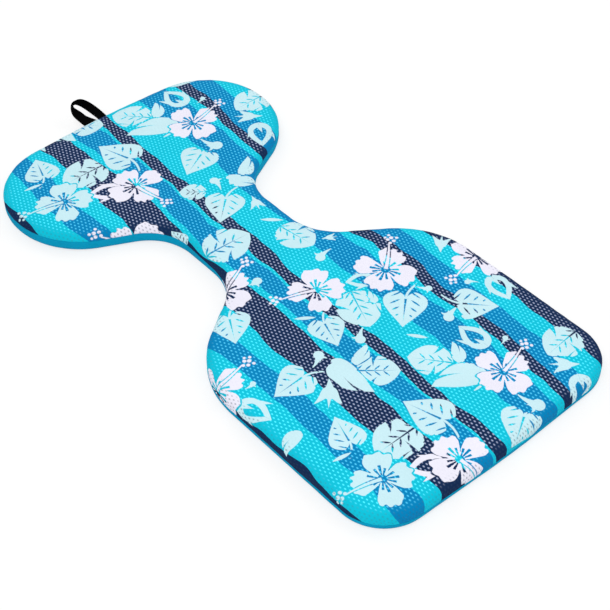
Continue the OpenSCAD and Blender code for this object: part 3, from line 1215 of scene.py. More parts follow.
@dataclass
class BoardPlan:
    """Hourglass plan of the board and the section of its rounded edge, in metres."""

    seat_w: float = 445 * MM
    waist_w: float = 148 * MM
    lobe_w: float = 465 * MM
    rear_y: float = -445 * MM
    shoulder_y: float = -85 * MM
    waist_rear_y: float = 17 * MM
    waist_front_y: float = 168 * MM
    lobe_back_y: float = 248 * MM
    front_y: float = 445 * MM
    rear_bow: float = 6 * MM
    front_bow: float = 9 * MM
    bow_r: float = 1500 * MM
    rear_corner_r: float = 70 * MM
    shoulder_r: float = 140 * MM
    waist_rear_r: float = 90 * MM
    waist_front_r: float = 80 * MM
    lobe_back_r: float = 126 * MM
    lobe_front_r: float = 114 * MM
    edge_t: float = 28 * MM
    top_edge_r: float = 9.5 * MM
    bottom_edge_r: float = 7 * MM
    crown: float = 2.5 * MM
    crown_reach: float = 58 * MM
    seam_z_front: float = 18 * MM
    seam_z_seat: float = 10 * MM
    fillet_share: float = 0.98
    step: float = 4.5 * MM
    weld_share: float = 0.05

    def corners(self) -> list[Corner]:
        """Lists the corners anticlockwise, from the middle of the rear end.

        Returns:
            The corners before they are rounded.
        """
        side = [
            Corner(self.seat_w / 2, self.rear_y + self.rear_bow, self.rear_corner_r),
            Corner(self.seat_w / 2, self.shoulder_y, self.shoulder_r),
            Corner(self.waist_w / 2, self.waist_rear_y, self.waist_rear_r),
            Corner(self.waist_w / 2, self.waist_front_y, self.waist_front_r),
            Corner(self.lobe_w / 2, self.lobe_back_y, self.lobe_back_r),
            Corner(self.lobe_w / 2, self.front_y - self.front_bow, self.lobe_front_r),
        ]
        rear = Corner(0.0, self.rear_y - self.bow_out(self.rear_bow, self.seat_w), self.bow_r)
        front = Corner(0.0, self.front_y + self.bow_out(self.front_bow, self.lobe_w), self.bow_r)
        return [rear, *side, front, *(corner.flipped() for corner in reversed(side))]

    def bow_out(self, bow: float, width: float) -> float:
        """How far the corner of a bowed end lies outside, so that its rounding reaches the full length."""
        return self.bow_r * (1 / math.cos(math.atan(2 * bow / width)) - 1)

    def outline(self, bm: bmesh.types.BMesh) -> list[bmesh.types.BMVert]:
        """Draws the rounded plan as one closed line of short edges at height 0.

        Args:
            bm: The mesh to draw in.

        Returns:
            The line's vertices in order, anticlockwise.
        """
        corners = self.corners()
        count = len(corners)
        halves, used = [], []
        for i, corner in enumerate(corners):
            back = corners[i - 1].place - corner.place
            ahead = corners[(i + 1) % count].place - corner.place
            halves.append(back.angle(ahead) / 2)
            used.append(corner.radius / math.tan(halves[i]))
        fits = []
        for i, corner in enumerate(corners):
            length = (corners[(i + 1) % count].place - corner.place).length
            fits.append(min(1.0, self.fillet_share * length / (used[i] + used[(i + 1) % count])))
        pen = None
        for i, corner in enumerate(corners):
            back = (corners[i - 1].place - corner.place).normalized()
            ahead = (corners[(i + 1) % count].place - corner.place).normalized()
            radius = corner.radius * min(fits[i - 1], fits[i])
            start = corner.place + back * radius / math.tan(halves[i])
            centre = corner.place + (back + ahead).normalized() * radius / math.sin(halves[i])
            turn = (math.pi - 2 * halves[i]) * math.copysign(1.0, back.y * ahead.x - back.x * ahead.y)
            pen = self.line_to(bm, pen, start)
            spun = bmesh.ops.spin(
                bm, geom=[pen], cent=centre, axis=(0, 0, 1), angle=turn,
                steps=max(2, math.ceil(abs(turn) * radius / self.step)),
            )
            pen = next(v for v in spun["geom_last"] if isinstance(v, bmesh.types.BMVert))
        bm.verts.ensure_lookup_table()
        self.line_to(bm, pen, bm.verts[0].co.copy())
        bmesh.ops.remove_doubles(bm, verts=bm.verts[:], dist=self.step * self.weld_share)
        return self.in_order(bm)

    def line_to(
        self, bm: bmesh.types.BMesh, pen: bmesh.types.BMVert | None, end: Vector
    ) -> bmesh.types.BMVert:
        """Draws a straight in short edges from the pen's vertex, or starts the line where there is none.

        Args:
            bm: The mesh to draw in.
            pen: The line's last vertex, or None before it starts.
            end: Where the straight ends.

        Returns:
            The new last vertex.
        """
        if pen is None:
            return bm.verts.new(end)
        cuts = max(1, math.ceil((end - pen.co).length / self.step))
        stride = (end - pen.co) / cuts
        for _ in range(cuts):
            drawn = bmesh.ops.extrude_vert_indiv(bm, verts=[pen])
            pen = drawn["verts"][0]
            bmesh.ops.translate(bm, verts=[pen], vec=stride)
        return pen

    def in_order(self, bm: bmesh.types.BMesh) -> list[bmesh.types.BMVert]:
        """Walks the closed line once and gives its vertices in order, anticlockwise.

        Args:
            bm: The mesh that holds nothing but the line.

        Returns:
            The vertices, from the middle of the rear end.
        """
        start = min(bm.verts, key=lambda v: (v.co.y, abs(v.co.x)))
        edge = max(start.link_edges, key=lambda e: e.other_vert(start).co.x)
        line, at = [start], edge.other_vert(start)
        while at is not start:
            line.append(at)
            edge = next(e for e in at.link_edges if e is not edge)
            at = edge.other_vert(at)
        return line

    def seam_z(self, y: float) -> float:
        """Height of the seam, which falls along the waist from the lobe to the seat."""
        share = ease((y - self.waist_rear_y) / (self.waist_front_y - self.waist_rear_y))
        return self.seam_z_seat + (self.seam_z_front - self.seam_z_seat) * share

    def crown_at(self, inset: float) -> float:
        """Rise of the crown at a distance in from the plan."""
        share = max(0.0, min(1.0, (inset - self.top_edge_r) / (self.crown_reach - self.top_edge_r)))
        return self.crown * (1 - (1 - share) ** 2)

    def top_section(self, y: float, run: float) -> tuple[float, float]:
        """Follows the section from the seam upwards and over the top edge.

        Args:
            y: Place along the board, which sets the seam's height.
            run: Share of the way from the seam to the end of the rounded edge.

        Returns:
            The distance in from the plan and the height.
        """
        wall = self.edge_t - self.top_edge_r - self.seam_z(y)
        arc = self.top_edge_r * math.pi / 2
        s = run * (wall + arc)
        if s < wall:
            return 0.0, self.seam_z(y) + s
        a = (s - wall) / self.top_edge_r
        return self.top_edge_r * (1 - math.cos(a)), self.edge_t - self.top_edge_r * (1 - math.sin(a))

    def bottom_section(self, y: float, run: float) -> tuple[float, float]:
        """Follows the section from the seam downwards and under the bottom edge.

        Args:
            y: Place along the board, which sets the seam's height.
            run: Share of the way from the seam to the end of the rounded edge.

        Returns:
            The distance in from the plan and the height.
        """
        wall = self.seam_z(y) - self.bottom_edge_r
        arc = self.bottom_edge_r * math.pi / 2
        s = run * (wall + arc)
        if s < wall:
            return 0.0, self.seam_z(y) - s
        a = (s - wall) / self.bottom_edge_r
        return self.bottom_edge_r * (1 - math.cos(a)), self.bottom_edge_r * (1 - math.sin(a))


class Stretch(Enum):
    """Stretches of a cover's section, from the seam inwards."""

    TUCK = "tuck"
    EDGE = "edge"
    FLAT = "flat"


@dataclass
class SewnCover:
    """What both covers share: rings in from the plan, a middle cut into small faces, and cloth places."""

    plan: BoardPlan
    title: str = ""
    node: str = ""
    slot: str = ""
    edge_rings: int = 8
    cell: float = 5 * MM
    thickness: float = 1.2 * MM
    tuck: float = 2.6 * MM
    tuck_r: float = 1.1 * MM
    fill: float = 0.95

    cloth_map = "cloth"
    inset_map = "inset"
    tuck_shares = (0.0, 0.35, 0.7, 1.0)
    roll_power = 4
    least_out = 0.5
    cut_share = 0.02

    def rows(self) -> list[float]:
        """Gives the run of each ring from the seam to the end of the rounded edge."""
        return [k / self.edge_rings for k in range(self.edge_rings + 1)]

    def section(self, y: float, run: float) -> tuple[float, float]:
        """Gives the distance in from the plan and the height at a share of the way from the seam."""
        raise NotImplementedError

    def crown_insets(self) -> list[float]:
        """Gives the distances in from the plan of the rings past the rounded edge."""
        raise NotImplementedError

    def build(self) -> bpy.types.Object:
        """Builds the cover's mesh.

        Returns:
            The new object, with its cloth places stored on the mesh.
        """
        bm = bmesh.new()
        out = bm.verts.layers.float_vector.new("out")
        foot = bm.verts.layers.float_vector.new("foot")
        cloth = bm.verts.layers.float_vector.new(self.cloth_map)
        inset_at = bm.verts.layers.float.new(self.inset_map)
        middle_tag = bm.faces.layers.int.new("middle")
        line = self.plan.outline(bm)
        count = len(line)
        for i, vert in enumerate(line):
            ahead = (line[(i + 1) % count].co - vert.co).normalized()
            behind = (vert.co - line[i - 1].co).normalized()
            along = (ahead + behind).normalized()
            vert[out] = Vector((along.y, -along.x, 0.0))
            vert[foot] = vert.co.copy()
        ring = list(bm.edges)
        for k, (share, kind) in enumerate(self.stations()):
            if k:
                grown = bmesh.ops.extrude_edge_only(bm, edges=ring)["geom"]
                verts = {g for g in grown if isinstance(g, bmesh.types.BMVert)}
                ring = [g for g in grown if isinstance(g, bmesh.types.BMEdge) and verts.issuperset(g.verts)]
            else:
                verts = set(line)
            for vert in verts:
                inset, height, spread = self.place(vert[foot].y, share, kind)
                vert.co = vert[foot] - vert[out] * inset + Vector((0, 0, height))
                vert[cloth] = vert[foot] + vert[out] * spread
                vert[inset_at] = inset
        middle = bmesh.ops.contextual_create(bm, geom=ring)["faces"]
        for face in middle:
            face[middle_tag] = 1
        self.cut_middle(bm, middle, middle_tag)
        for vert in bm.verts:
            if vert[out].length < self.least_out:
                vert[cloth] = Vector((vert.co.x, vert.co.y, 0.0))
                vert[inset_at] = self.plan.crown_reach
            vert[cloth] = self.lay(vert[cloth])
        bmesh.ops.recalc_face_normals(bm, faces=bm.faces[:])
        self.shape(bm)
        mesh = bpy.data.meshes.new(self.title)
        bm.to_mesh(mesh)
        bm.free()
        for polygon in mesh.polygons:
            polygon.use_smooth = True
        piece = bpy.data.objects.new(self.title, mesh)
        bpy.context.scene.collection.objects.link(piece)
        return piece

    def lay(self, place: Vector) -> Vector:
        """Turns a place of the unrolled cover into one of the cloth before it was stretched."""
        return place

    def stations(self) -> list[tuple[float, Stretch]]:
        """Lists the rings: the tuck into the seam, the rounded edge, then the flat.

        Returns:
            Each ring's share or inset, and the stretch of the section that it belongs to.
        """
        tucked = [(share, Stretch.TUCK) for share in self.tuck_shares]
        edge = [(run, Stretch.EDGE) for run in self.rows()[1:]]
        flat = [(inset, Stretch.FLAT) for inset in self.crown_insets()]
        return [*tucked, *edge, *flat]

    def place(self, y: float, share: float, kind: Stretch) -> tuple[float, float, float]:
        """Gives the inset and height of a ring's vertex, and how far out its cloth lies when flat."""
        raise NotImplementedError

    def cut_middle(
        self, bm: bmesh.types.BMesh, faces: list[bmesh.types.BMFace], tag: bmesh.types.BMLayerItem
    ) -> None:
        """Cuts the flat middle into small faces by evenly spaced planes, across first and then lengthwise.

        Args:
            bm: The cover's mesh.
            faces: The middle before it is cut.
            tag: The layer that marks the faces of the middle.
        """
        rim = [v.co for f in faces for v in f.verts]
        low = Vector((min(p.x for p in rim), min(p.y for p in rim), rim[0].z))
        high = Vector((max(p.x for p in rim), max(p.y for p in rim), rim[0].z))
        for axis in (1, 0):
            normal = Vector((0, 0, 0))
            normal[axis] = 1.0
            steps = round((high[axis] - low[axis]) / self.cell)
            for k in range(1, steps):
                point = low.copy()
                point[axis] = low[axis] + (high[axis] - low[axis]) * k / steps
                near = [f for f in bm.faces if f[tag] and self.crosses(f, axis, point[axis])]
                geom = list({*near, *(e for f in near for e in f.edges), *(v for f in near for v in f.verts)})
                slack = self.cell * self.cut_share
                bmesh.ops.bisect_plane(bm, geom=geom, dist=slack, plane_co=point, plane_no=normal)

    def crosses(self, face: bmesh.types.BMFace, axis: int, level: float) -> bool:
        """Says whether a face reaches across a level of one axis."""
        values = [v.co[axis] for v in face.verts]
        return min(values) < level < max(values)

    def shape(self, bm: bmesh.types.BMesh) -> None:
        """Gives the cloth its unevenness; each cover has its own."""
        raise NotImplementedError

    def dress(self, piece: bpy.types.Object, material: bpy.types.Material) -> None:
        """Gives the cover its cloth thickness, material and body.

        Args:
            piece: The cover.
            material: Its finished material.
        """
        piece.data.materials.append(material)
        wall = piece.modifiers.new("cloth thickness", "SOLIDIFY")
        wall.thickness = self.thickness
        wall.offset = -1.0
        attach(piece, "board")
        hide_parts(self.node)


@dataclass
class TopCover(SewnCover):
    """The printed mesh panel: up from the seam, over the rounded edge and across the crowned top."""

    title: str = "top_cover_cloth"
    node: str = "top_cover"
    slot: str = "printed_mesh"
    edge_rings: int = 9
    crown_rings: int = 8
    skew: float = 0.021
    widening: float = 0.12
    straight_y: float = -150 * MM
    swell: float = 0.6 * MM
    pucker: float = 0.35 * MM
    pucker_reach: float = 20 * MM

    swells = ((9.0, 0.7), (23.0, 0.3))
    pucker_scale = 70.0

    def section(self, y: float, run: float) -> tuple[float, float]:
        """Follows the plan's section upwards."""
        return self.plan.top_section(y, run)

    def crown_insets(self) -> list[float]:
        """Spreads the rings over the crown."""
        span = self.plan.crown_reach - self.plan.top_edge_r
        return [self.plan.top_edge_r + span * k / self.crown_rings for k in range(1, self.crown_rings + 1)]

    def place(self, y: float, share: float, kind: Stretch) -> tuple[float, float, float]:
        """Places one vertex of a ring, with the cloth unrolled outwards from the start of the rounded edge.

        Args:
            y: Place along the board.
            share: The ring's share or inset, as its stretch reads it.
            kind: Which stretch of the section the ring belongs to.

        Returns:
            The distance in from the plan, the height, and how far out the cloth lies when flat.
        """
        plan = self.plan
        wall = plan.edge_t - plan.top_edge_r - plan.seam_z(y)
        unrolled = wall + plan.top_edge_r * math.pi / 2
        if kind is Stretch.FLAT:
            return share, plan.edge_t + plan.crown_at(share), -share
        if kind is Stretch.TUCK:
            turn = share * math.pi / 2
            inset = self.tuck_r * (1 - math.sin(turn)) + (self.tuck if share == 0 else 0.0)
            lift = self.tuck_r * (1 - math.cos(turn))
            return inset, plan.seam_z(y) + lift, unrolled - plan.top_edge_r - lift
        inset, height = self.section(y, share)
        low = self.tuck_r * (1 - share) ** self.roll_power
        return inset, height + low, unrolled * (1 - share) - plan.top_edge_r

    def lay(self, place: Vector) -> Vector:
        """Lets the print lie a little askew, and stretched across the front lobe."""
        ahead = place.y - self.straight_y
        return Vector(((place.x - self.skew * ahead) / (1 + self.widening * ahead), place.y, 0.0))

    def shape(self, bm: bmesh.types.BMesh) -> None:
        """Adds soft swells on the top and small puckers near the seam.

        Args:
            bm: The cover's mesh, with its normals.
        """
        inset_at = bm.verts.layers.float[self.inset_map]
        cloth = bm.verts.layers.float_vector[self.cloth_map]
        bm.normal_update()
        for vert in bm.verts:
            place = vert[cloth]
            swell = sum(noise.noise(place * scale) * share for scale, share in self.swells)
            near_edge = 1 - ease(vert[inset_at] / self.pucker_reach)
            pucker = noise.noise(place * self.pucker_scale) * near_edge
            vert.co += vert.normal * (self.swell * swell + self.pucker * pucker)


@dataclass
class BottomCover(SewnCover):
    """The plain panel: down from the seam, under the rounded edge and across the flat underside."""

    title: str = "bottom_cover_cloth"
    node: str = "bottom_cover"
    slot: str = "plain_fabric"
    edge_rings: int = 6
    cell: float = 12 * MM
    pucker: float = 0.4 * MM
    flat_height: float = 6 * MM

    inner_rings = (6 * MM, 14 * MM, 26 * MM)
    pucker_scale = 45.0

    def section(self, y: float, run: float) -> tuple[float, float]:
        """Follows the plan's section downwards."""
        return self.plan.bottom_section(y, run)

    def crown_insets(self) -> list[float]:
        """Leaves a few rings inside the rounded edge."""
        return [self.plan.bottom_edge_r + step for step in self.inner_rings]

    def place(self, y: float, share: float, kind: Stretch) -> tuple[float, float, float]:
        """Places one vertex of a ring, with the cloth unrolled outwards from the flat underside.

        Args:
            y: Place along the board.
            share: The ring's share or inset, as its stretch reads it.
            kind: Which stretch of the section the ring belongs to.

        Returns:
            The distance in from the plan, the height, and how far out the cloth lies when flat.
        """
        plan = self.plan
        unrolled = plan.seam_z(y) - plan.bottom_edge_r + plan.bottom_edge_r * math.pi / 2
        if kind is Stretch.FLAT:
            return share, 0.0, -share
        if kind is Stretch.TUCK:
            turn = share * math.pi / 2
            inset = self.tuck_r * (1 - math.sin(turn)) + (self.tuck if share == 0 else 0.0)
            drop = self.tuck_r * (1 - math.cos(turn))
            return inset, plan.seam_z(y) - drop, unrolled - plan.bottom_edge_r - drop
        inset, height = self.section(y, share)
        low = min(self.tuck_r * (1 - share) ** self.roll_power, height)
        return inset, height - low, unrolled * (1 - share) - plan.bottom_edge_r

    def shape(self, bm: bmesh.types.BMesh) -> None:
        """Adds small puckers on the side, and leaves the underside flat where it rests.

        Args:
            bm: The cover's mesh, with its normals.
        """
        cloth = bm.verts.layers.float_vector[self.cloth_map]
        bm.normal_update()
        for vert in bm.verts:
            lifted = ease(vert.co.z / self.flat_height)
            pucker = noise.noise(vert[cloth] * self.pucker_scale)
            vert.co += vert.normal * (self.pucker * pucker * lifted)


@dataclass(frozen=True)
class BloomSpot:
    """One bloom of the print: place in millimetres, the way its pistil points in degrees, size, whiteness."""

    x: float
    y: float
    heading: float
    size: float
    white: float = 1.0


@dataclass(frozen=True)
class LeafSpot:
    """One leaf of the print: kind, place in millimetres, the way its tip points, half length, whiteness."""

    kind: LeafKind
    x: float
    y: float
    heading: float
    size: float
    white: float = 0.0


Spot = BloomSpot | LeafSpot
Reach = Callable[[float, float, Spot], float]


@dataclass
class PrintLayout:
    """Where the blooms and leaves of one repeat lie, in millimetres, and how they are stamped."""

    repeat: float = 686.0
    blooms: tuple[BloomSpot, ...] = (
        BloomSpot(-162, 305, 160, 43, 0.0),
        BloomSpot(-65, 265, -83, 43),
        BloomSpot(85, 330, 10, 43),
        BloomSpot(-102, 6, 17, 44),
        BloomSpot(-6, -80, 154, 43),
        BloomSpot(95, -113, 37, 46),
        BloomSpot(-134, 167, 117, 44),
        BloomSpot(-224, -129, 2, 44),
        BloomSpot(215, -177, 186, 44),
    )
    leaves: tuple[LeafSpot, ...] = (
        LeafSpot(LeafKind.HEART, -148, 390, 73, 29),
        LeafSpot(LeafKind.SLIVER, -177, 363, 170, 14),
        LeafSpot(LeafKind.SPLIT, -106, 338, 180, 36),
        LeafSpot(LeafKind.HEART, -43, 344, 108, 37),
        LeafSpot(LeafKind.BUD, -106, 284, 155, 26, 1.0),
        LeafSpot(LeafKind.HEART, -85, 137, 80, 17),
        LeafSpot(LeafKind.SPLIT, -40, 75, 355, 37),
        LeafSpot(LeafKind.SPLIT, 24, 408, 130, 31),
        LeafSpot(LeafKind.DROP, 63, 394, 60, 20),
        LeafSpot(LeafKind.DROP, 32, 364, 158, 41),
        LeafSpot(LeafKind.BUD, 100, 401, 95, 27),
        LeafSpot(LeafKind.CURL, 128, 368, 40, 10),
        LeafSpot(LeafKind.HEART, 35, 252, 209, 34),
        LeafSpot(LeafKind.CURL, 73, 270, 308, 23),
        LeafSpot(LeafKind.SLIVER, 39, 332, 0, 9),
        LeafSpot(LeafKind.SPLIT, -11, 198, 140, 20),
        LeafSpot(LeafKind.CURL, 29, 190, 100, 17),
        LeafSpot(LeafKind.HEART, 3, 141, 224, 34),
        LeafSpot(LeafKind.DROP, 61, 170, 319, 27),
        LeafSpot(LeafKind.DROP, 86, 193, 42, 23),
        LeafSpot(LeafKind.CUP, 45, 118, 250, 17),
        LeafSpot(LeafKind.SLIVER, 39, 74, 320, 17),
        LeafSpot(LeafKind.SPLIT, 45, 23, 280, 32),
        LeafSpot(LeafKind.SPLIT, 185, 315, 185, 32),
        LeafSpot(LeafKind.CUP, 158, 287, 140, 22),
        LeafSpot(LeafKind.BUD, 147, 240, 240, 28),
        LeafSpot(LeafKind.CURL, -64, -12, 0, 17),
        LeafSpot(LeafKind.HEART, -138, -58, 241, 32),
        LeafSpot(LeafKind.CURL, 48, -30, 210, 18),
        LeafSpot(LeafKind.CUP, 79, -10, 330, 12),
        LeafSpot(LeafKind.BUD, 53, -105, 150, 21),
        LeafSpot(LeafKind.SLIVER, -53, -111, 325, 15),
        LeafSpot(LeafKind.HEART, -44, -151, 252, 30),
        LeafSpot(LeafKind.SPLIT, 16, -147, 250, 36),
        LeafSpot(LeafKind.DROP, 43, -143, 60, 15),
        LeafSpot(LeafKind.HEART, 64, -186, 222, 36),
        LeafSpot(LeafKind.CURL, 111, -177, 330, 13),
        LeafSpot(LeafKind.CURL, -18, -183, 240, 18),
        LeafSpot(LeafKind.HEART, -143, -191, 182, 33),
        LeafSpot(LeafKind.CURL, -89, -181, 50, 18),
        LeafSpot(LeafKind.DROP, -81, -232, 275, 40),
        LeafSpot(LeafKind.SPLIT, -42, -247, 320, 30),
        LeafSpot(LeafKind.DROP, -39, -213, 25, 21),
        LeafSpot(LeafKind.CUP, -118, -235, 225, 26),
        LeafSpot(LeafKind.DROP, -209, -261, 200, 21),
        LeafSpot(LeafKind.BUD, -210, -193, 285, 27),
        LeafSpot(LeafKind.CURL, -186, -158, 20, 10),
        LeafSpot(LeafKind.HEART, 144, -244, 314, 34),
        LeafSpot(LeafKind.CURL, 106, -233, 215, 19),
        LeafSpot(LeafKind.BUD, 196, -243, 255, 27),
        LeafSpot(LeafKind.CUP, 194, -124, 40, 20),
        LeafSpot(LeafKind.CURL, 172, -208, 160, 11),
        LeafSpot(LeafKind.SLIVER, 41, -235, 308, 15),
    )

    bloom_name = "bloom"
    leaf_name = "leaf"
    tint_name = "tint"
    nowhere = (9.0, 9.0, float(LeafKind.NONE))
    flat_from = 4 * MM
    flat_span = 10 * MM
    near = 2.4
    rival_slack = 0.2
    petal_reach = 1.12
    pistil_middle = (0.85, 0.03)
    pistil_reach = (0.85, 0.36)
    plain_leaf = (1.12, 1.0)
    leaf_sizes = {
        LeafKind.SPLIT: (1.05, 0.93),
        LeafKind.BUD: (1.12, 0.95),
        LeafKind.CUP: (1.12, 0.85),
        LeafKind.DROP: (1.1, 0.6),
        LeafKind.SLIVER: (1.1, 0.4),
    }
    stem_along = (-1.45, -0.4)
    stem_aside = (-0.2, 0.6)
    stem_share = 0.95

    def stamp(self, piece: bpy.types.Object) -> None:
        """Stores on each face corner its place in the bloom and the leaf that cover its face.

        Args:
            piece: The top cover, whose mesh holds the cloth places.
        """
        mesh = piece.data
        cloth = [Vector(value.vector) for value in mesh.attributes[TopCover.cloth_map].data]
        inset = [value.value for value in mesh.attributes[TopCover.inset_map].data]
        bloom = mesh.attributes.new(self.bloom_name, "FLOAT_VECTOR", "CORNER")
        leaf = mesh.attributes.new(self.leaf_name, "FLOAT_VECTOR", "CORNER")
        tint = mesh.attributes.new(self.tint_name, "FLOAT_VECTOR", "CORNER")
        blooms = self.repeated(self.blooms)
        leaves = self.repeated(self.leaves)
        for polygon in mesh.polygons:
            centre = sum((cloth[v] for v in polygon.vertices), Vector()) / len(polygon.vertices)
            flower, _ = self.nearest(centre, blooms, self.bloom_reach)
            frond, rival = self.nearest(centre, leaves, self.leaf_reach)
            for corner in polygon.loop_indices:
                vertex = mesh.loops[corner].vertex_index
                place = cloth[vertex]
                lead = self.lead(place, frond, rival) if frond and rival else 1.0
                in_bloom = self.local(place, flower) if flower else self.nowhere[:2]
                in_leaf = (*self.local(place, frond), float(frond.kind)) if frond else self.nowhere
                # flat_share rises from the rolled edge to the flat top; the mesh material paints shade in the
                # holes where it is low.
                flat_share = ease((inset[vertex] - self.flat_from) / self.flat_span)
                bloom.data[corner].vector = (*in_bloom, lead)
                leaf.data[corner].vector = in_leaf
                whites = [motif.white if motif else 0.0 for motif in (flower, frond)]
                tint.data[corner].vector = (*whites, flat_share)

    def repeated(self, spots: tuple[Spot, ...]) -> list[Spot]:
        """Repeats the spots lengthwise, one repeat back and one ahead."""
        return [replace(spot, y=spot.y + self.repeat * turn) for turn in (-1, 0, 1) for spot in spots]

    def local(self, place: Vector, spot: Spot) -> tuple[float, float]:
        """Gives a place of the cloth in a motif's own axes, in units of its size.

        Args:
            place: The place on the cloth.
            spot: The motif.

        Returns:
            The place along and across the motif.
        """
        angle = math.radians(spot.heading)
        x, y = place.x / MM - spot.x, place.y / MM - spot.y
        along = (x * math.cos(angle) + y * math.sin(angle)) / spot.size
        aside = (y * math.cos(angle) - x * math.sin(angle)) / spot.size
        return along, aside

    def nearest(self, place: Vector, spots: list[Spot], reach: Reach) -> tuple[Spot | None, Spot | None]:
        """Finds the motifs that cover a place the deepest and second deepest.

        Args:
            place: The place on the cloth.
            spots: The motifs to look through.
            reach: Says how far out a place lies in a motif.

        Returns:
            The two motifs, with None for each that does not reach the place.
        """
        x, y = place.x / MM, place.y / MM
        close = [k for k, s in enumerate(spots) if abs(s.x - x) + abs(s.y - y) < self.near * s.size]
        shares = sorted((reach(*self.local(place, spots[k]), spots[k]), k) for k in close)[:2]
        limits = (1.0, 1.0 + self.rival_slack)
        found = [spots[k] if share < limit else None for (share, k), limit in zip(shares, limits)]
        return tuple((found + [None, None])[:2])

    def lead(self, place: Vector, leaf: LeafSpot, rival: LeafSpot) -> float:
        """Says how much deeper a place lies in its own leaf than in the next one."""
        own, other = (self.leaf_reach(*self.local(place, spot), spot) for spot in (leaf, rival))
        return other - own

    def bloom_reach(self, along: float, aside: float, spot: BloomSpot) -> float:
        """Says how far out a place lies in a bloom: below 1 inside its petals, pistil or dots.

        Args:
            along: Place along the pistil, in units of the bloom's size.
            aside: Place across it.
            spot: The bloom; all blooms reach equally far.

        Returns:
            The share of the reach.
        """
        petals = math.hypot(along, aside) / self.petal_reach
        middle, reach = self.pistil_middle, self.pistil_reach
        pistil = max(abs(along - middle[0]) / reach[0], abs(aside - middle[1]) / reach[1])
        return min(petals, pistil)

    def leaf_reach(self, along: float, aside: float, spot: LeafSpot) -> float:
        """Says how far out a place lies in a leaf: below 1 inside it.

        Args:
            along: Place along the leaf, in units of its size.
            aside: Place across it.
            spot: The leaf, whose kind sets its form.

        Returns:
            The share of the reach.
        """
        length, width = self.leaf_sizes.get(spot.kind, self.plain_leaf)
        if spot.kind is LeafKind.SLIVER:
            return max(abs(along) / length, abs(aside) / width)
        bow = PrintedLeaf.drop_bow * along * along if spot.kind is LeafKind.DROP else 0.0
        blade = math.hypot(along / length, (aside - bow) / width)
        beside_stem = self.stem_aside[0] < aside < self.stem_aside[1]
        if spot.kind is LeafKind.HEART and beside_stem and self.stem_along[0] < along < self.stem_along[1]:
            return min(blade, self.stem_share)
        return blade


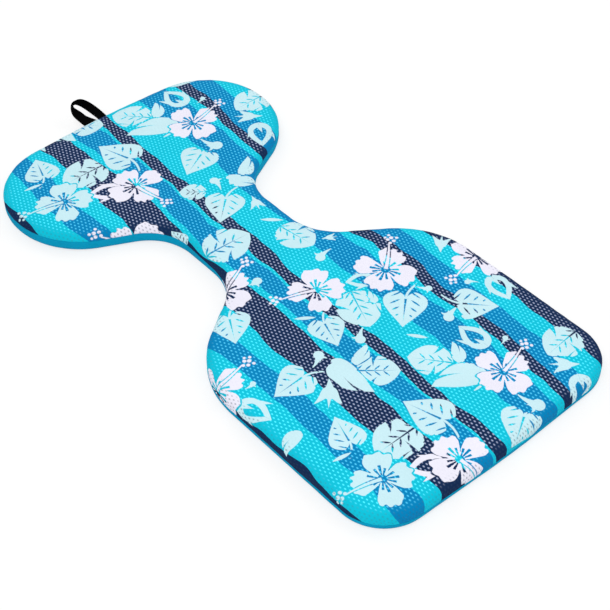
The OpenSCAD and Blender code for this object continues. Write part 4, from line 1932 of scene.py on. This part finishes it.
@dataclass
class HangLoop:
    """The webbing loop at the middle of the front edge."""

    width: float = 15 * MM
    thickness: float = 1.4 * MM
    gap: float = 11.5 * MM
    reach: float = 56 * MM
    rise: float = 4.5 * MM
    lean: float = math.radians(30)
    squareness: float = 3.0
    aside: float = -4.2 * MM
    tip_aside: float = -5.8 * MM
    right_lift: float = 1.3
    left_lift: float = 5.0
    left_bow: float = 5.5 * MM
    flare: float = 9 * MM
    flare_reach: float = 0.4
    sway_power: float = 1.5
    steps: int = 160
    steps_across: int = 6
    edge_round: float = 0.5 * MM
    edge_steps: int = 3
    sharp_from: float = math.radians(60)
    title: str = "hang_loop_webbing"

    own_map = "strip"

    def build(self) -> bpy.types.Object:
        """Bends a flat strip round the loop's middle line and gives it its thickness.

        Returns:
            The new object.
        """
        bm = bmesh.new()
        bmesh.ops.create_grid(bm, x_segments=self.steps_across, y_segments=self.steps, size=1.0)
        strip = bm.verts.layers.float_vector.new(self.own_map)
        length = self.length()
        for vert in bm.verts:
            across, t = vert.co.x, vert.co.y + 1.0
            vert[strip] = Vector((across * self.width / 2, t * length / 2, 0.0))
            vert.co = self.at(t) + self.across(t) * (across * (self.width + self.spread(t)) / 2)
        bmesh.ops.recalc_face_normals(bm, faces=bm.faces[:])
        bm.normal_update()
        for vert in bm.verts:
            vert.co += vert.normal * (self.thickness / 2)
        bmesh.ops.solidify(bm, geom=bm.faces[:], thickness=self.thickness)
        bmesh.ops.recalc_face_normals(bm, faces=bm.faces[:])
        bm.normal_update()
        sharp = [e for e in bm.edges if len(e.link_faces) == 2 and e.calc_face_angle() > self.sharp_from]
        bmesh.ops.bevel(
            bm, geom=sharp, offset=self.edge_round, offset_type="OFFSET", segments=self.edge_steps,
            profile=0.5, affect="EDGES", material=-1,
        )
        mesh = bpy.data.meshes.new(self.title)
        bm.to_mesh(mesh)
        bm.free()
        for polygon in mesh.polygons:
            polygon.use_smooth = True
        piece = bpy.data.objects.new(self.title, mesh)
        bpy.context.scene.collection.objects.link(piece)
        return piece

    def fold(self) -> Vector:
        """The middle of the fold where the loop leaves the seam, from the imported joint."""
        return Vector(frame["joints"][0]["pos_m"])

    def edge(self, t: float, x: float, reach: float, rise: float) -> Vector:
        """One edge of the strip, from 0 on the right leg to 2 on the left leg.

        Args:
            t: Place along the loop.
            x: Distance of the edge from the loop's middle at the fold.
            reach: How far the edge reaches out at the tip.
            rise: How far it rises at the tip.

        Returns:
            The point of the edge; the loop hangs a little to the left, where its leg stays flat longer.
        """
        c, out = math.cos(math.pi / 2 * t), self.out(t)
        sway = self.aside + self.tip_aside * out**self.sway_power
        lift = self.right_lift if c > 0 else self.left_lift
        sideways = x * math.copysign(abs(c) ** (2 / self.squareness), c)
        return self.fold() + Vector((sideways + sway, reach * out, rise * out**lift))

    def out(self, t: float) -> float:
        """Share of the reach, from 0 at the fold to 1 at the tip."""
        return max(0.0, math.sin(math.pi / 2 * t)) ** (2 / self.squareness)

    def spread(self, t: float) -> float:
        """How far the foot of the left leg widens towards the right one, where it goes in askew."""
        return self.flare * (1 - ease(self.out(t) / self.flare_reach)) if t > 1 else 0.0

    def bow(self, t: float) -> float:
        """How far the left leg's inner edge bows up half way along."""
        return self.left_bow * math.sin(math.pi * self.out(t)) ** 2 if t > 1 else 0.0

    def inner(self, t: float) -> Vector:
        """The edge along the opening."""
        return self.edge(t, self.gap / 2, self.reach, self.rise) + Vector((self.spread(t), 0.0, self.bow(t)))

    def outer(self, t: float) -> Vector:
        """The outer edge, which stands over the inner one and leans back at the tip."""
        back, up = self.width * math.sin(self.lean), self.width * math.cos(self.lean)
        return self.edge(t, self.gap / 2 + self.width, self.reach - back, self.rise + up)

    def at(self, t: float) -> Vector:
        """The middle line."""
        return (self.inner(t) + self.outer(t)) / 2

    def across(self, t: float) -> Vector:
        """The direction across the strip, flat at the fold and nearly upright at the tip."""
        return (self.inner(t) - self.outer(t)).normalized()

    def length(self) -> float:
        """Length of the middle line."""
        points = [self.at(2 * k / self.steps) for k in range(self.steps + 1)]
        return sum((b - a).length for a, b in zip(points, points[1:]))

    def dress(self, piece: bpy.types.Object, material: bpy.types.Material) -> None:
        """Gives the loop its material and body.

        Args:
            piece: The loop.
            material: Its finished material.
        """
        piece.data.materials.append(material)
        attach(piece, "loop")
        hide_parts("hang_loop")


@dataclass(frozen=True)
class Lamp:
    """One soft square lamp that points at the board."""

    name: str
    place: tuple[float, float, float]
    size: float
    power: float

    def light(self) -> None:
        """Adds the lamp to the scene."""
        data = bpy.data.lights.new(self.name, "AREA")
        data.size = self.size
        data.energy = self.power
        lamp = bpy.data.objects.new(self.name, data)
        lamp.location = self.place
        lamp.rotation_mode = "QUATERNION"
        lamp.rotation_quaternion = (-Vector(self.place)).to_track_quat("-Z", "Y")
        bpy.context.scene.collection.objects.link(lamp)


@dataclass
class Studio:
    """Pale floor, soft light and the camera at the photograph's angle."""

    elevation: float = 44.70
    azimuth: float = -41.13
    distance: float = 1.9761
    lens: float = 84.46
    sensor: float = 36.0
    target: tuple[float, float, float] = (-0.02795, -0.08315, 0.019)
    floor_half: float = 40.0
    floor_drop: float = 0.4 * MM
    floor_grey: float = 0.95
    floor_rough: float = 0.9
    floor_lift: float = 0.65
    floor_white: float = 1.06
    sky_light: float = 0.55
    sky_seen: float = 1.0
    lamps: tuple[Lamp, ...] = (
        Lamp("key light", (-1.2, -1.0, 2.2), 1.6, 26.0),
        Lamp("fill light", (1.8, -0.6, 1.6), 1.8, 12.0),
        Lamp("rim light", (0.3, 2.0, 1.8), 1.6, 12.0),
    )

    def build(self) -> None:
        """Makes the floor, the lights, the world and the camera."""
        scene = bpy.context.scene
        scene.view_settings.view_transform = "Standard"
        self.floor()
        self.world(scene)
        for lamp in self.lamps:
            lamp.light()
        self.camera(scene)

    def camera(self, scene: bpy.types.Scene) -> None:
        """Places the camera as the photograph was taken.

        Args:
            scene: The scene that is rendered.
        """
        a, e = math.radians(self.azimuth), math.radians(self.elevation)
        back = Vector((math.sin(a) * math.cos(e), -math.cos(a) * math.cos(e), math.sin(e)))
        data = bpy.data.cameras.new("camera")
        data.lens = self.lens
        data.sensor_width = self.sensor
        camera = bpy.data.objects.new("camera", data)
        camera.location = Vector(self.target) + back * self.distance
        camera.rotation_mode = "QUATERNION"
        camera.rotation_quaternion = (-back).to_track_quat("-Z", "Y")
        scene.collection.objects.link(camera)
        scene.camera = camera

    def world(self, scene: bpy.types.Scene) -> None:
        """Makes an even pale surrounding that the camera sees as white.

        Args:
            scene: The scene that is rendered.
        """
        world = bpy.data.worlds.new("studio")
        world.use_nodes = True
        graph = Graph(world.node_tree)
        background = graph.node("Background")
        rays = graph.node("LightPath")
        seen = graph.math("MAXIMUM", rays.outputs["Is Camera Ray"], rays.outputs["Is Glossy Ray"])
        graph.feed(background.inputs["Strength"], graph.choose(seen, self.sky_light, self.sky_seen))
        output = graph.node("OutputWorld")
        graph.feed(output.inputs["Surface"], background.outputs[0])
        background.inputs["Color"].default_value = (1, 1, 1, 1)
        scene.world = world

    def floor(self) -> None:
        """Lays a plain white floor that keeps the board's shadow."""
        bm = bmesh.new()
        bmesh.ops.create_grid(bm, x_segments=1, y_segments=1, size=self.floor_half)
        bmesh.ops.translate(bm, verts=bm.verts[:], vec=(0, 0, -self.floor_drop))
        mesh = bpy.data.meshes.new("floor")
        bm.to_mesh(mesh)
        bm.free()
        floor = bpy.data.objects.new("floor", mesh)
        material = bpy.data.materials.new("floor")
        material.use_nodes = True
        graph = Graph(material.node_tree)
        surface = graph.node("BsdfPrincipled")
        surface.inputs["Base Color"].default_value = (self.floor_grey, self.floor_grey, self.floor_grey, 1)
        surface.inputs["Roughness"].default_value = self.floor_rough
        surface.inputs["Specular IOR Level"].default_value = 0.0
        white = graph.node("Emission")
        white.inputs["Strength"].default_value = self.floor_white
        seen = graph.math("MULTIPLY", graph.node("LightPath").outputs["Is Camera Ray"], self.floor_lift)
        both = graph.node("MixShader")
        graph.feed(both.inputs[0], seen)
        graph.feed(both.inputs[1], surface.outputs[0])
        graph.feed(both.inputs[2], white.outputs[0])
        graph.feed(graph.node("OutputMaterial").inputs["Surface"], both.outputs[0])
        mesh.materials.append(material)
        bpy.context.scene.collection.objects.link(floor)


def dress_inner(effects: EffectSet) -> None:
    """Gives the CAD nodes inside the cover their finishes.

    Args:
        effects: The shared node groups.
    """
    finishes = {
        "core_upper_sheet": Foam(),
        "core_lower_sheet": Foam(title="closed-cell foam, lower sheet"),
        "seam_margin": InnerCloth(),
        "loop_tails": Webbing(title="webbing tails"),
        "loop_bar_tacks": InnerCloth(
            title="tacking thread", dark=linear(6, 6, 7), light=linear(40, 40, 44), pitch=0.8 * MM,
        ),
    }
    for node, finish in finishes.items():
        mesh = frame["nodes"][node].data
        mesh.materials.clear()
        mesh.materials.append(finish.make(effects))
        LOG.info("dressed %s in %s", node, finish.title)


def main() -> None:
    """Builds the studio, the covers and the loop, dresses the inner pieces and logs the face counts of the
    covers and the loop.
    """
    logging.basicConfig(level=logging.INFO, format="%(name)s: %(message)s")
    Studio().build()
    effects = EffectSet()
    plan = BoardPlan()

    top = TopCover(plan)
    top_piece = top.build()
    PrintLayout().stamp(top_piece)
    top.dress(top_piece, PrintedMesh().make(effects))
    LOG.info("made %s with %d faces", top_piece.name, len(top_piece.data.polygons))

    bottom = BottomCover(plan)
    bottom_piece = bottom.build()
    bottom.dress(bottom_piece, PlainKnit().make(effects))
    LOG.info("made %s with %d faces", bottom_piece.name, len(bottom_piece.data.polygons))

    loop = HangLoop()
    loop_piece = loop.build()
    loop.dress(loop_piece, Webbing(title="webbing loop", own_map=HangLoop.own_map).make(effects))
    LOG.info("made %s with %d faces", loop_piece.name, len(loop_piece.data.polygons))

    dress_inner(effects)


if __name__ == "__main__":
    main()
